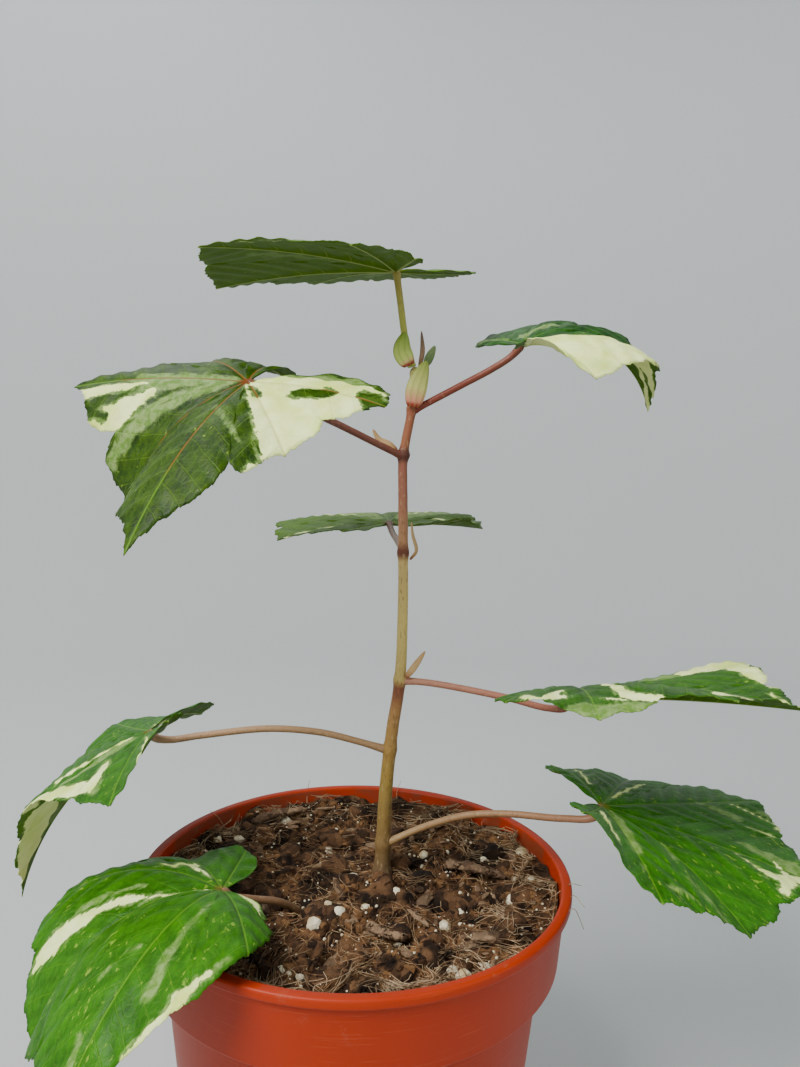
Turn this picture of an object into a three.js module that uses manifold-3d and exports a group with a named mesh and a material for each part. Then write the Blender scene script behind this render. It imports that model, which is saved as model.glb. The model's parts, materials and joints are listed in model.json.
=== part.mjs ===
// Potted hibiscus cutting: one upright stem, eight lobed leaves on long stalks,
// leaf scales at the tip and the nodes, and a round plastic pot filled with potting mix.
// Millimetres. +Z is up, the origin is the centre of the pot's flat underside,
// +X is right and +Y is away as the plant is usually looked at.
import * as THREE from 'three';
import { mergeVertices } from 'three/addons/utils/BufferGeometryUtils.js';
import Module from 'manifold-3d';

const wasm = await Module();
wasm.setup();

// ---------- sizes ----------
const GAP = 0.34;                 // air between two separate solids
const POT = {
  height: 105, rimR: 60, wall: 1.3, floor: 1.6, footR: 43, neckR: 52.3,
  collarZ: 84.5, collarR: 56.7, collarTopR: 58.3, lip: 2.6, sides: 56,
};
const SOIL = { edge: 96.5, mound: 2.5, bank: 4.2, sides: 48, rings: 9 };
const STEM = {
  foot: 99.4, top: 246, sides: 10, rings: 38,
  path: [[7, 7, 98], [7.7, 7.5, 124], [9.2, 8, 142], [11, 8, 156], [11.4, 8.5, 180],
    [11.1, 8.5, 194], [10.8, 8.5, 206], [10.5, 9, 221], [11.2, 9, 226], [12.7, 9, 235],
    [13.3, 9, 247]],
  footR: 2.2, midR: 1.55, topR: 1.2, flare: 0.9, nodeR: 0.35,
  nodes: [108, 136, 156.5, 193.5, 221.5, 234.8, 245.5],
};
const STALK = { sides: 8, rings: 12, radius: 0.98, swell: 0.3 };
const BLADE = { steps: 6, rows: 4, thick: 1.0, notch: 0.09, end: 146 };
const LOBES = [-122, -83, -43, 0, 43, 83, 122];   // lobe tips round the stalk, in degrees
const BAYS = [0.5, 0.8, 1, 1, 0.8, 0.5];          // how deeply each bay between them is cut

// One entry a leaf. at: where the stalk meets the blade. turn: heading, rise of the midrib
// and roll, in degrees. fold: how far the sides rise. size: length of the middle lobe.
// reach: lobe lengths as a share of size, right base round to left base. droop: how far each
// lobe bends down along its length, in degrees. stalk: its line from the stem to the blade.
const LEAVES = [
  { at: [7.3, 9, 273.5], turn: [165, 4, -5], fold: 8, size: 57, spread: 1.01, bay: 0.09,
    reach: [0.53, 0.99, 0.96, 1, 0.99, 0.53, 0.29], droop: [0, 4, 10, 14, 15, 12, 6],
    stalk: [[12.4, 9.2, 246.6], [10.4, 9.6, 254], [8.8, 9.4, 264], [7.3, 9, 273.5]] },
  { at: [-29.5, -16, 238.3], turn: [200, -20, -25], fold: 7, size: 52, spread: 1.03, bay: 0.32,
    reach: [0.54, 0.67, 1.08, 1, 1.18, 0.67, 0.78], droop: [56, 30, 15, 73, 33, 34, 18],
    stalk: [[10.5, 9, 221.2], [6.7, 6, 222.7], [-7.6, -3, 229.1], [-22, -11.7, 235], [-29.5, -16, 238.3]] },
  { at: [43.2, 5, 253], turn: [1, 25, 14], fold: 6, size: 49, spread: 0.79, bay: 0.1,
    reach: [0.53, 0.59, 0.78, 1, 0.9, 0.9, 0.68], droop: [-6, 66, 59, 100, 44, 20, 9],
    stalk: [[12.7, 9, 234], [27, 8, 241.8], [34.7, 7, 246], [40, 6, 249.5], [43.2, 5, 253]] },
  { at: [6.4, 44, 200.3], turn: [96, 8, -2], fold: 1, size: 51, spread: 1.04, bay: 0.19,
    reach: [0.53, 0.64, 0.92, 1, 1.08, 0.75, 0.38], droop: [-17, 12, 12, 17, 16, 19, 2],
    stalk: [[11.1, 8.5, 194], [9.4, 20, 196], [7.4, 36, 198], [6.4, 44, 200.3]] },
  { at: [59.6, 2, 154], turn: [-15, 8, -18], fold: 13, size: 61, spread: 0.94, bay: 0.13,
    reach: [0.56, 0.78, 0.88, 1, 1.14, 0.7, 0.8], droop: [31, 46, 27, 13, -3, 15, 16],
    stalk: [[11, 8, 156.3], [19.8, 7, 156], [41.7, 4, 153], [53, 3, 150.6], [58, 2, 151], [59.6, 2, 154]] },
  { at: [-59.8, 2, 141.8], turn: [198, -25, 7], fold: -1, size: 56, spread: 0.87, bay: 0.12,
    reach: [0.82, 0.75, 1.05, 1, 0.66, 0.68, 0.54], droop: [23, -3, 18, 55, -2, 16, -20],
    stalk: [[7.9, 7.8, 135.7], [-1, 7, 138.4], [-12, 6, 141.1], [-26.6, 5, 142.1], [-45.4, 3, 140.3],
      [-54, 2, 139.2], [-58.4, 2, 139.8], [-59.8, 2, 141.8]] },
  { at: [67.7, -5, 125.8], turn: [-11, -13, -1], fold: 5, size: 58, spread: 0.88, bay: 0.1,
    reach: [0.46, 0.73, 0.82, 1, 1.12, 0.73, 0.65], droop: [-17, 19, 29, 5, 2, 17, 25],
    stalk: [[7, 7, 107.6], [19.3, 6, 113.8], [30.9, 3, 118.7], [42.2, 0, 120.7], [57.2, -3, 121],
      [65.5, -5, 122.4], [67.7, -5, 125.8]] },
  { at: [-33.3, -23, 108.7], turn: [208, 18, 4], fold: 14, size: 61, spread: 1.0, bay: 0.1,
    reach: [0.38, 0.4, 0.8, 1, 1.03, 0.57, 0.25], droop: [-2, 32, 61, 102, 94, 32, 41],
    stalk: [[-16, -7, 94.9], [-17.7, -9, 97.2], [-20.5, -12, 100], [-26.8, -17, 103.3], [-31.1, -21, 106],
      [-33.3, -23, 108.7]] },
];

// Scales and dried leaf scales: a line from foot to tip, greatest width, thickness, and the
// direction that the flat side looks in.
const SCALES = [
  { name: 'tip_scale_left', line: [[11.6, 7, 246.6], [9.6, 6.9, 250.6], [10.2, 7.4, 255.8]],
    width: 5.6, thick: 2.2, face: [0.2, -1, 0.1] },
  { name: 'tip_scale_brown', line: [[14.6, 9.2, 246.7], [15.3, 9.4, 251], [14.9, 9.6, 256.7]],
    width: 1.5, thick: 0.8, face: [-0.3, -1, 0] },
  { name: 'tip_leaflet', line: [[16.4, 8, 247], [17.3, 8, 249.2], [18.8, 8, 252.4]],
    width: 2.6, thick: 0.7, face: [0.3, -1, 0.2] },
  { name: 'sheath_scale', line: [[12.9, 6.4, 235], [13.9, 6.2, 240.6], [16.4, 7, 247.9]],
    width: 6.0, thick: 1.8, face: [0.1, -1, 0] },
  { name: 'dry_scale_upper', line: [[8.6, 6.9, 222.8], [6.3, 5.9, 224.4], [3.6, 5.4, 225.6], [1.8, 5.4, 228.4]],
    width: 1.6, thick: 0.7, face: [0.3, -1, 0.5] },
  { name: 'dry_scale_middle', line: [[13.2, 8, 191.6], [14.9, 7.8, 194.2], [13.8, 7.6, 198.6], [13.3, 7.6, 202.4]],
    width: 1.6, thick: 0.7, face: [0.9, -0.6, 0] },
  { name: 'dry_scale_lower', line: [[12.7, 6.2, 157.6], [14.9, 5.8, 160.6], [18.1, 5.8, 165.5]],
    width: 2.0, thick: 0.7, face: [0, -1, 0.3] },
];

const COLOURS = {
  plastic: [0x9c3a1c, 0.5], mix: [0x3a2a20, 0.95], bark: [0x7a6a48, 0.8], stalk: [0x8a6248, 0.6],
  leaf: [0x4f7d2c, 0.55], scale: [0xa9b46a, 0.6], dry: [0x9c7a55, 0.9],
};

// ---------- making solids ----------
function manifold(geometry) {
  const bare = new THREE.BufferGeometry();
  bare.setAttribute('position', geometry.getAttribute('position'));
  if (geometry.index) bare.setIndex(geometry.index);
  const merged = mergeVertices(bare, 1e-3);
  const source = merged.index.array;
  const keep = [];
  for (let i = 0; i < source.length; i += 3) {
    const [a, b, c] = [source[i], source[i + 1], source[i + 2]];
    if (a !== b && b !== c && c !== a) keep.push(a, b, c);
  }
  return new wasm.Manifold(new wasm.Mesh({
    numProp: 3,
    vertProperties: new Float32Array(merged.getAttribute('position').array),
    triVerts: new Uint32Array(keep),
  }));
}

function geometryOf(body) {
  const mesh = body.getMesh();
  const geometry = new THREE.BufferGeometry();
  geometry.setAttribute('position', new THREE.BufferAttribute(new Float32Array(mesh.vertProperties), 3));
  geometry.setIndex(new THREE.BufferAttribute(new Uint32Array(mesh.triVerts), 1));
  return geometry;
}

// Cuts the cutters away and keeps the largest piece that is left.
function clear(body, cutters) {
  for (const cutter of cutters) body = body.subtract(cutter);
  const pieces = body.decompose();
  return pieces.reduce((a, b) => (a.volume() > b.volume() ? a : b));
}

// Closes a stack of rings, each an array of points, into one solid.
function stack(rings) {
  const count = rings[0].length;
  const points = rings.flat();
  const index = [];
  for (let i = 0; i + 1 < rings.length; i += 1) {
    for (let k = 0; k < count; k += 1) {
      const [a, b] = [i * count + k, i * count + ((k + 1) % count)];
      index.push(a, b, b + count, a, b + count, a + count);
    }
  }
  const last = (rings.length - 1) * count;
  for (let k = 1; k + 1 < count; k += 1) {
    index.push(0, k + 1, k, last, last + k, last + k + 1);
  }
  const geometry = new THREE.BufferGeometry();
  geometry.setAttribute('position', new THREE.Float32BufferAttribute(points.flat(), 3));
  geometry.setIndex(index);
  return manifold(geometry);
}

const vec = (p) => new THREE.Vector3(...p);
const smooth = (t) => t * t * (3 - 2 * t);

// ---------- pot ----------
function makePot() {
  const p = POT;
  const step = p.collarZ + p.wall;
  const line = [
    [0, 0], [p.footR - 1, 0], [p.footR, 1], [p.neckR, p.collarZ], [p.collarR - 0.5, p.collarZ],
    [p.collarR, p.collarZ + 0.5], [p.collarTopR, p.height - p.lip - 0.3], [p.rimR - 0.5, p.height - p.lip],
    [p.rimR, p.height - p.lip + 0.7], [p.rimR, p.height - 0.8], [p.rimR - 0.9, p.height],
    [p.rimR - 2.1, p.height], [p.rimR - 2.9, p.height - 0.9],
    [p.collarR - p.wall, step + 0.6], [p.neckR - p.wall + 0.2, step], [p.footR - p.wall, p.floor], [0, p.floor],
  ];
  const geometry = new THREE.LatheGeometry(line.map(([r, z]) => new THREE.Vector2(r, z)), p.sides);
  geometry.rotateX(Math.PI / 2);
  return manifold(geometry);
}

// ---------- potting mix ----------
function soilHeight(x, y) {
  const r2 = (x - 7) ** 2 + (y - 7) ** 2;
  const waves = 0.5 * Math.sin(0.31 * x + 1.1) * Math.cos(0.27 * y) + 0.35 * Math.sin(0.19 * x - 0.44 * y + 2)
    + 0.25 * Math.sin(0.62 * x + 0.5 * y);
  const foot = Math.exp(-r2 / 40);
  const dip = 1.4 * Math.exp(-((x + 16) ** 2 + (y + 7) ** 2) / 90);
  const share = (t) => smooth(Math.min(1, Math.max(0, t)));
  const bank = SOIL.bank * share((Math.hypot(x, y) - 36) / 16) * share((y + 32) / 22);
  return SOIL.edge + SOIL.mound * Math.exp(-r2 / 300) + waves * (1 - foot) - dip + bank;
}

function makeSoil() {
  const { sides, rings } = SOIL;
  const inner = (z) => {
    const step = POT.collarZ + POT.wall + 0.6;
    if (z < step) return POT.footR - POT.wall + ((POT.neckR - POT.footR) * z) / POT.collarZ;
    return POT.collarR - POT.wall + ((POT.rimR - 2.9 - POT.collarR + POT.wall) * (z - step)) / (POT.height - 0.9 - step);
  };
  const shelf = POT.collarZ + POT.wall + 0.6 + GAP;
  const neck = POT.neckR - POT.wall - GAP - 0.2;
  const wall = [[inner(POT.floor) - GAP - 0.2, POT.floor + GAP], [neck, POT.collarZ], [neck, shelf],
    [inner(shelf) - GAP - 0.2, shelf + 0.05]];
  const stackRings = [];
  const ring = (r, height) => Array.from({ length: sides }, (_, k) => {
    const a = (2 * Math.PI * k) / sides;
    const [x, y] = [r * Math.cos(a), r * Math.sin(a)];
    return [x, y, height === null ? soilHeight(x, y) : height];
  });
  wall.forEach(([r, z]) => stackRings.push(ring(r, z)));
  const edge = inner(SOIL.edge) - GAP - 0.2;
  for (let i = 0; i < rings; i += 1) stackRings.push(ring(edge * (1 - i / rings) + 0.4 * (i / rings), null));
  return stack(stackRings);
}

// ---------- stem ----------
function stemAxis() {
  return new THREE.CatmullRomCurve3(STEM.path.map(vec), false, 'centripetal');
}

function stemRadius(z) {
  const s = STEM;
  const t = (z - s.foot) / (s.top - s.foot);
  const taper = t < 0.45 ? s.footR + ((s.midR - s.footR) * t) / 0.45 : s.midR + ((s.topR - s.midR) * (t - 0.45)) / 0.55;
  const swell = s.nodes.reduce((sum, node) => sum + s.nodeR * Math.exp(-(((z - node) / 1.6) ** 2)), 0);
  return taper + swell + s.flare * Math.exp(-(z - s.foot) / 2.2);
}

function makeStem(grow = 0, from = STEM.foot, to = STEM.top) {
  const axis = stemAxis().getSpacedPoints(400);
  const at = (z) => {
    const i = Math.max(1, axis.findIndex((p) => p.z >= z));
    const [a, b] = [axis[i - 1], axis[i]];
    const t = (z - a.z) / (b.z - a.z);
    return [a.x + (b.x - a.x) * t, a.y + (b.y - a.y) * t];
  };
  const rings = [];
  for (let i = 0; i <= STEM.rings; i += 1) {
    const z = from + ((to - from) * i) / STEM.rings;
    const [x, y] = at(z);
    const r = stemRadius(Math.max(z, STEM.foot)) + grow;
    rings.push(Array.from({ length: STEM.sides }, (_, k) => {
      const a = (2 * Math.PI * k) / STEM.sides;
      return [x + r * Math.cos(a), y + r * Math.sin(a), z];
    }));
  }
  return stack(rings);
}

// ---------- a limb with a round or flattened section ----------
function limb(line, rings, sides, halfSize, face) {
  const curve = new THREE.CatmullRomCurve3(line.map(vec), false, 'centripetal');
  const out = [];
  let side = null;
  for (let i = 0; i <= rings; i += 1) {
    const t = i / rings;
    const centre = curve.getPointAt(t);
    const along = curve.getTangentAt(t);
    if (face) side = new THREE.Vector3().crossVectors(along, face).normalize();
    else {
      side = side ?? new THREE.Vector3().crossVectors(along, Math.abs(along.z) > 0.7 ? vec([0, 1, 0]) : vec([0, 0, 1]));
      side.addScaledVector(along, -side.dot(along)).normalize();
    }
    const over = new THREE.Vector3().crossVectors(along, side);
    const [wide, tall] = halfSize(t);
    out.push(Array.from({ length: sides }, (_, k) => {
      const a = (2 * Math.PI * k) / sides;
      return centre.clone().addScaledVector(side, wide * Math.cos(a)).addScaledVector(over, tall * Math.sin(a)).toArray();
    }));
  }
  return stack(out);
}

function makeStalk(leaf, grow = 0) {
  const { radius, swell, rings, sides } = STALK;
  return limb(leaf.stalk, rings, sides, (t) => {
    const r = radius + swell * (Math.exp(-((t / 0.06) ** 2)) + Math.exp(-(((1 - t) / 0.08) ** 2))) + grow;
    return [r, r];
  });
}

function makeScale(scale) {
  return limb(scale.line, 9, 8, (t) => {
    const w = 0.16 + 0.84 * Math.sin(Math.PI * Math.min(1, 0.12 + 0.86 * t ** 0.8)) ** 0.8;
    return [0.5 * scale.width * w, 0.5 * scale.thick * (0.45 + 0.55 * w)];
  }, vec(scale.face));
}

// ---------- leaf blades ----------
function spanOf(knots, deg) {
  let k = 0;
  while (k < knots.length - 2 && deg >= knots[k + 1]) k += 1;
  return k;
}

function between(deg, values) {
  const knots = [-BLADE.end, ...LOBES, BLADE.end];
  const all = [values[0], ...values, values[values.length - 1]];
  const k = spanOf(knots, deg);
  return all[k] + (all[k + 1] - all[k]) * smooth((deg - knots[k]) / (knots[k + 1] - knots[k]));
}

function rimAt(deg, leaf) {
  const last = LOBES.length - 1;
  if (Math.abs(deg) > LOBES[last]) {
    const t = Math.min(1, (Math.abs(deg) - LOBES[last]) / (BLADE.end - LOBES[last]));
    return leaf.reach[deg < 0 ? 0 : last] * (BLADE.notch + (1 - BLADE.notch) * Math.sqrt(1 - t * t));
  }
  const k = spanOf(LOBES, deg);
  const t = (deg - LOBES[k]) / (LOBES[k + 1] - LOBES[k]);
  const u = 1 - Math.abs(2 * t - 1);
  const cut = 0.45 * (1 - (1 - u) ** 6) + 0.55 * u ** 6;
  return (leaf.reach[k] + (leaf.reach[k + 1] - leaf.reach[k]) * t) * (1 - BAYS[k] * leaf.bay * cut);
}

// A point of the blade's middle surface: deg goes round the stalk, s runs out to the rim.
function bladePoint(leaf, deg, s) {
  const [heading, rise, roll] = leaf.turn.map(THREE.MathUtils.degToRad);
  const ahead = vec([Math.cos(heading) * Math.cos(rise), Math.sin(heading) * Math.cos(rise), Math.sin(rise)]);
  const flat = vec([-Math.sin(heading), Math.cos(heading), 0]);
  const left = flat.clone().multiplyScalar(Math.cos(roll))
    .addScaledVector(new THREE.Vector3().crossVectors(ahead, flat), Math.sin(roll));
  const up = new THREE.Vector3().crossVectors(ahead, left);
  const a = THREE.MathUtils.degToRad(deg * leaf.spread);
  const start = THREE.MathUtils.degToRad(leaf.fold) * Math.abs(Math.sin(a));
  const full = between(deg, leaf.reach) * leaf.size;
  const bend = THREE.MathUtils.degToRad(between(deg, leaf.droop)) / full || 1e-6;
  const r = rimAt(deg, leaf) * leaf.size * s;
  const now = start - bend * r;
  const out = (Math.sin(start) - Math.sin(now)) / bend;
  const high = (Math.cos(now) - Math.cos(start)) / bend;
  return vec(leaf.at).addScaledVector(ahead, out * Math.cos(a)).addScaledVector(left, out * Math.sin(a))
    .addScaledVector(up, high);
}

// The side that the blade's top looks to, evened out close to the stalk.
function bladeNormal(leaf, deg, s) {
  const at = Math.max(s, 0.06);
  const across = bladePoint(leaf, Math.min(deg + 2, BLADE.end), at).sub(bladePoint(leaf, Math.max(deg - 2, -BLADE.end), at));
  const along = bladePoint(leaf, deg, at + 0.03).sub(bladePoint(leaf, deg, at - 0.03));
  const own = along.cross(across).normalize();
  const share = Math.min(1, (rimAt(deg, leaf) * leaf.size * s) / 7);
  const [heading, rise, roll] = leaf.turn.map(THREE.MathUtils.degToRad);
  const ahead = vec([Math.cos(heading) * Math.cos(rise), Math.sin(heading) * Math.cos(rise), Math.sin(rise)]);
  const flat = vec([-Math.sin(heading), Math.cos(heading), 0]);
  const up = new THREE.Vector3().crossVectors(ahead, flat).multiplyScalar(Math.cos(roll))
    .addScaledVector(flat, -Math.sin(roll));
  return up.lerp(own, smooth(share)).normalize();
}

function makeBlade(leaf, grow = 0, steps = BLADE.steps, rows = BLADE.rows) {
  const half = BLADE.thick / 2 + grow;
  const degs = [];
  const turns = Math.ceil(steps / 1.5);
  const round = (k) => BLADE.end - (BLADE.end + LOBES[0]) * Math.sin((Math.PI * k) / turns / 2);
  for (let k = 0; k < turns; k += 1) degs.push(-round(k));
  for (let k = 0; k + 1 < LOBES.length; k += 1) {
    for (let i = 0; i < steps; i += 1) degs.push(LOBES[k] + ((LOBES[k + 1] - LOBES[k]) * i) / steps);
  }
  for (let k = turns; k >= 0; k -= 1) degs.push(round(k));
  const points = [];
  const mid = bladeNormal(leaf, 0, 0.06);
  points.push(vec(leaf.at).addScaledVector(mid, half), vec(leaf.at).addScaledVector(mid, -half));
  for (const deg of degs) {
    for (let j = 1; j <= rows; j += 1) {
      const s = j / rows;
      const p = bladePoint(leaf, deg, s);
      const n = bladeNormal(leaf, deg, s);
      points.push(p.clone().addScaledVector(n, half), p.clone().addScaledVector(n, -half));
    }
  }
  const id = (i, j, side) => (j === 0 ? side : 2 + (i * rows + j - 1) * 2 + side);
  const index = [];
  const quad = (a, b, c, d) => index.push(a, b, c, a, c, d);
  for (let i = 0; i + 1 < degs.length; i += 1) {
    for (let j = 0; j < rows; j += 1) {
      quad(id(i, j, 0), id(i, j + 1, 0), id(i + 1, j + 1, 0), id(i + 1, j, 0));
      quad(id(i, j, 1), id(i + 1, j, 1), id(i + 1, j + 1, 1), id(i, j + 1, 1));
    }
    quad(id(i, rows, 0), id(i, rows, 1), id(i + 1, rows, 1), id(i + 1, rows, 0));
  }
  const end = degs.length - 1;
  for (let j = 0; j < rows; j += 1) {
    quad(id(0, j, 0), id(0, j, 1), id(0, j + 1, 1), id(0, j + 1, 0));
    quad(id(end, j, 1), id(end, j, 0), id(end, j + 1, 0), id(end, j + 1, 1));
  }
  const geometry = new THREE.BufferGeometry();
  geometry.setAttribute('position', new THREE.Float32BufferAttribute(points.flatMap((p) => p.toArray()), 3));
  geometry.setIndex(index);
  return manifold(geometry);
}

// A tube round the open notch that the stalk comes in by, to keep the stalk off its edges.
function notchGuard(leaf) {
  const line = [];
  for (const deg of [-BLADE.end + 8, -BLADE.end]) line.push(bladePoint(leaf, deg, 1).toArray());
  line.push(bladePoint(leaf, -BLADE.end, 0.5).toArray(), leaf.at, bladePoint(leaf, BLADE.end, 0.5).toArray());
  for (const deg of [BLADE.end, BLADE.end - 8]) line.push(bladePoint(leaf, deg, 1).toArray());
  const r = BLADE.thick / 2 + GAP;
  const parts = [];
  for (let i = 0; i + 1 < line.length; i += 1) {
    const way = vec(line[i + 1]).sub(vec(line[i])).normalize().multiplyScalar(r * 0.6);
    const [a, b] = [vec(line[i]).sub(way).toArray(), vec(line[i + 1]).add(way).toArray()];
    parts.push(limb([a, b], 1, 8, () => [r, r]));
  }
  return parts;
}

// ---------- the plant ----------
const group = new THREE.Group();
function add(name, body, [colour, roughness]) {
  const material = new THREE.MeshStandardMaterial({ color: colour, roughness, metalness: 0 });
  const mesh = new THREE.Mesh(geometryOf(body), material);
  mesh.name = name;
  group.add(mesh);
}

add('pot', makePot(), COLOURS.plastic);
const soil = makeSoil();
add('soil', soil, COLOURS.mix);
add('stem', makeStem(), COLOURS.bark);

const roundStem = makeStem(GAP, STEM.foot - 1, STEM.top + GAP);
const roundSoil = soil.translate([0, 0, GAP]);
const blades = LEAVES.map((leaf) => makeBlade(leaf));
const roundBlades = LEAVES.map((leaf) => makeBlade(leaf, GAP + 0.1, 2, 2));
const roundStalks = LEAVES.map((leaf) => makeStalk(leaf, GAP));
LEAVES.forEach((leaf, i) => {
  add(`leaf_${i + 1}`, blades[i], COLOURS.leaf);
  add(`stalk_${i + 1}`, clear(makeStalk(leaf), [roundStem, roundSoil, roundBlades[i], ...notchGuard(leaf)]), COLOURS.stalk);
});
SCALES.forEach((scale) => {
  const dry = scale.name.startsWith('dry') || scale.name.endsWith('brown');
  add(scale.name, clear(makeScale(scale), [roundStem, ...roundStalks]), dry ? COLOURS.dry : COLOURS.scale);
});

export default group;
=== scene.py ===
# %% [markdown]
# # A potted hibiscus cutting
# A thin upright stem with eight variegated, lobed leaves on long stalks, in a round plastic pot
# filled with potting mix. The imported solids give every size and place. This script loads them,
# stands a detailed mesh in for each one, and gives every surface a finish built from nodes.

# %% Libraries and the fixed frame
import json
import math

import bmesh
import bpy
import numpy as np
from mathutils import Matrix, Vector, noise

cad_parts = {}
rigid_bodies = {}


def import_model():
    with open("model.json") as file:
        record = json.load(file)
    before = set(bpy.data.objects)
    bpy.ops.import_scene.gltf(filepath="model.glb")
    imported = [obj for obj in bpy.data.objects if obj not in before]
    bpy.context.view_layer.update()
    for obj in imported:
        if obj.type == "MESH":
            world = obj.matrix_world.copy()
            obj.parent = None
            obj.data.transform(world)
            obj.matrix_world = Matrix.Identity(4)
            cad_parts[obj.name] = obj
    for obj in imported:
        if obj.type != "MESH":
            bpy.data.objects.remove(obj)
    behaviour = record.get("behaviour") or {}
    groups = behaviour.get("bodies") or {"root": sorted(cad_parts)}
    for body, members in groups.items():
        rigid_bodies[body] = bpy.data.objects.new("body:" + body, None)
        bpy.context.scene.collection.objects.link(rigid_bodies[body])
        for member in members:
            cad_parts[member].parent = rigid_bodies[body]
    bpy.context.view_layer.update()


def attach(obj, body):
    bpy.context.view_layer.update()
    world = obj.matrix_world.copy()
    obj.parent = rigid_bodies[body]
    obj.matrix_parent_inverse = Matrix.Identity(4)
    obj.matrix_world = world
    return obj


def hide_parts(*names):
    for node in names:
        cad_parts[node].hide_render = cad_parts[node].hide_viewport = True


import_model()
MM = 0.001

# %% [markdown]
# ## Colours, and maths with sockets
# Colours are easiest to name as they look on a screen, but shaders add light, so each one is
# turned into linear values first. A Wire stands for one output socket. It knows how to add,
# multiply and compare, so a pattern can be written as a plain formula, and each operator puts one
# Math node in the tree. The same class serves materials and Geometry Nodes.


# %% Screen colours to linear ones
def colour(red, green, blue):
    linear = []
    for value in (red, green, blue):
        value /= 255
        linear.append(value / 12.92 if value <= 0.04045 else ((value + 0.055) / 1.055) ** 2.4)
    return (*linear, 1.0)


# %% A socket that does arithmetic
class Wire:
    def __init__(self, bench, socket):
        self.bench, self.socket = bench, socket

    def maths(self, operation, *others):
        values = dict(enumerate((self, *others)))
        return self.bench.node("ShaderNodeMath", {"operation": operation}, values)

    def flipped(self, operation, first):
        return self.bench.node("ShaderNodeMath", {"operation": operation}, {0: first, 1: self})

    def __add__(self, other):
        return self.maths("ADD", other)

    def __sub__(self, other):
        return self.maths("SUBTRACT", other)

    def __mul__(self, other):
        return self.maths("MULTIPLY", other)

    def __truediv__(self, other):
        return self.maths("DIVIDE", other)

    def __pow__(self, other):
        return self.maths("POWER", other)

    def __gt__(self, other):
        return self.maths("GREATER_THAN", other)

    def __lt__(self, other):
        return self.maths("LESS_THAN", other)

    def __abs__(self):
        return self.maths("ABSOLUTE")

    def __rsub__(self, other):
        return self.flipped("SUBTRACT", other)

    def __rtruediv__(self, other):
        return self.flipped("DIVIDE", other)

    def __rpow__(self, other):
        return self.flipped("POWER", other)

    __radd__, __rmul__ = __add__, __mul__

    def clamp(self):
        return self.bench.node("ShaderNodeClamp", {}, {"Value": self})

    def step(self, low, high):
        """0 below low, 1 above high, and a smooth rise between."""
        return self.bench.node("ShaderNodeMapRange", {"interpolation_type": "SMOOTHSTEP"},
                               {"Value": self, "From Min": low, "From Max": high})


# %% A bench that holds one node tree
class Bench:
    def __init__(self, tree):
        self.tree = tree

    def node(self, kind, settings=None, values=None, out=0):
        """Adds any node: its settings first, then the values or wires of its sockets."""
        made = self.tree.nodes.new(kind)
        for name, value in (settings or {}).items():
            if name == "stops":
                ramp = made.color_ramp.elements
                while len(ramp) < len(value):
                    ramp.new(0.5)
                for stop, (place, shade) in zip(ramp, value):
                    stop.position, stop.color = place, shade
            else:
                setattr(made, name, value)
        for name, value in (values or {}).items():
            if isinstance(value, Wire):
                self.tree.links.new(value.socket, made.inputs[name])
            else:
                made.inputs[name].default_value = value
        return Wire(self, made.outputs[out])

    def mix(self, factor, first, second):
        return self.node("ShaderNodeMix", {"data_type": "RGBA"},
                         {0: factor, 6: first, 7: second}, out=2)

    def ramp(self, factor, stops):
        """Screen colours along a value, each with its place from 0 to 1."""
        stops = [(place, colour(*shade)) for place, shade in stops]
        return self.node("ShaderNodeValToRGB", {"stops": stops}, {"Fac": factor}, out="Color")

    def vector(self, operation, first, second):
        return self.node("ShaderNodeVectorMath", {"operation": operation},
                         {0: first, 1: second}, out="Vector")

    def stretch(self, vector, scale):
        return self.vector("MULTIPLY", vector, scale)

    def noise(self, vector, scale, detail=2.0, rough=0.5):
        values = {"Vector": vector, "Scale": scale, "Detail": detail, "Roughness": rough}
        return self.node("ShaderNodeTexNoise", {}, values)

    def cells(self, vector, scale, feature="F1", out="Distance"):
        return self.node("ShaderNodeTexVoronoi", {"feature": feature},
                         {"Vector": vector, "Scale": scale}, out)

    def split(self, vector):
        made = self.node("ShaderNodeSeparateXYZ", {}, {"Vector": vector})
        return [Wire(self, socket) for socket in made.socket.node.outputs]

    def join(self, x, y, z):
        return self.node("ShaderNodeCombineXYZ", {}, {"X": x, "Y": y, "Z": z})


# %% A material on its bench
class Finish(Bench):
    def __init__(self, name, **constants):
        self.material = bpy.data.materials.new(name)
        self.material.use_nodes = True
        super().__init__(self.material.node_tree)
        self.shader = self.tree.nodes["Principled BSDF"]
        for socket, value in constants.items():
            self.shader.inputs[socket.replace("_", " ")].default_value = value

    def set(self, socket, wire):
        self.tree.links.new(wire.socket, self.shader.inputs[socket])

    def place(self):
        return self.node("ShaderNodeTexCoord", out="Object")

    def attribute(self, name, out="Fac"):
        return self.node("ShaderNodeAttribute", {"attribute_name": name}, out=out)

    def bump(self, height, distance, strength):
        return self.node("ShaderNodeBump", {},
                         {"Height": height, "Distance": distance, "Strength": strength},
                         out="Normal")


print("bench ready")

# %% [markdown]
# ## Geometry Nodes from code
# What follows a path or repeats is made by Geometry Nodes. A Recipe is one such tree: its sizes
# are named inputs, its last nodes realise the instances and set the material, and make() runs it
# on a small starting mesh. The result is copied out as a plain mesh, and the starting mesh and
# its modifier are thrown away.


# %% Plain meshes
def new_object(name, mesh):
    made = bpy.data.objects.new(name, mesh)
    bpy.context.scene.collection.objects.link(made)
    return made


def mesh_from(name, points, faces=(), edges=()):
    mesh = bpy.data.meshes.new(name)
    mesh.from_pydata([tuple(p) for p in points], list(edges), list(faces))
    mesh.validate()
    mesh.update()
    return mesh


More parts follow.
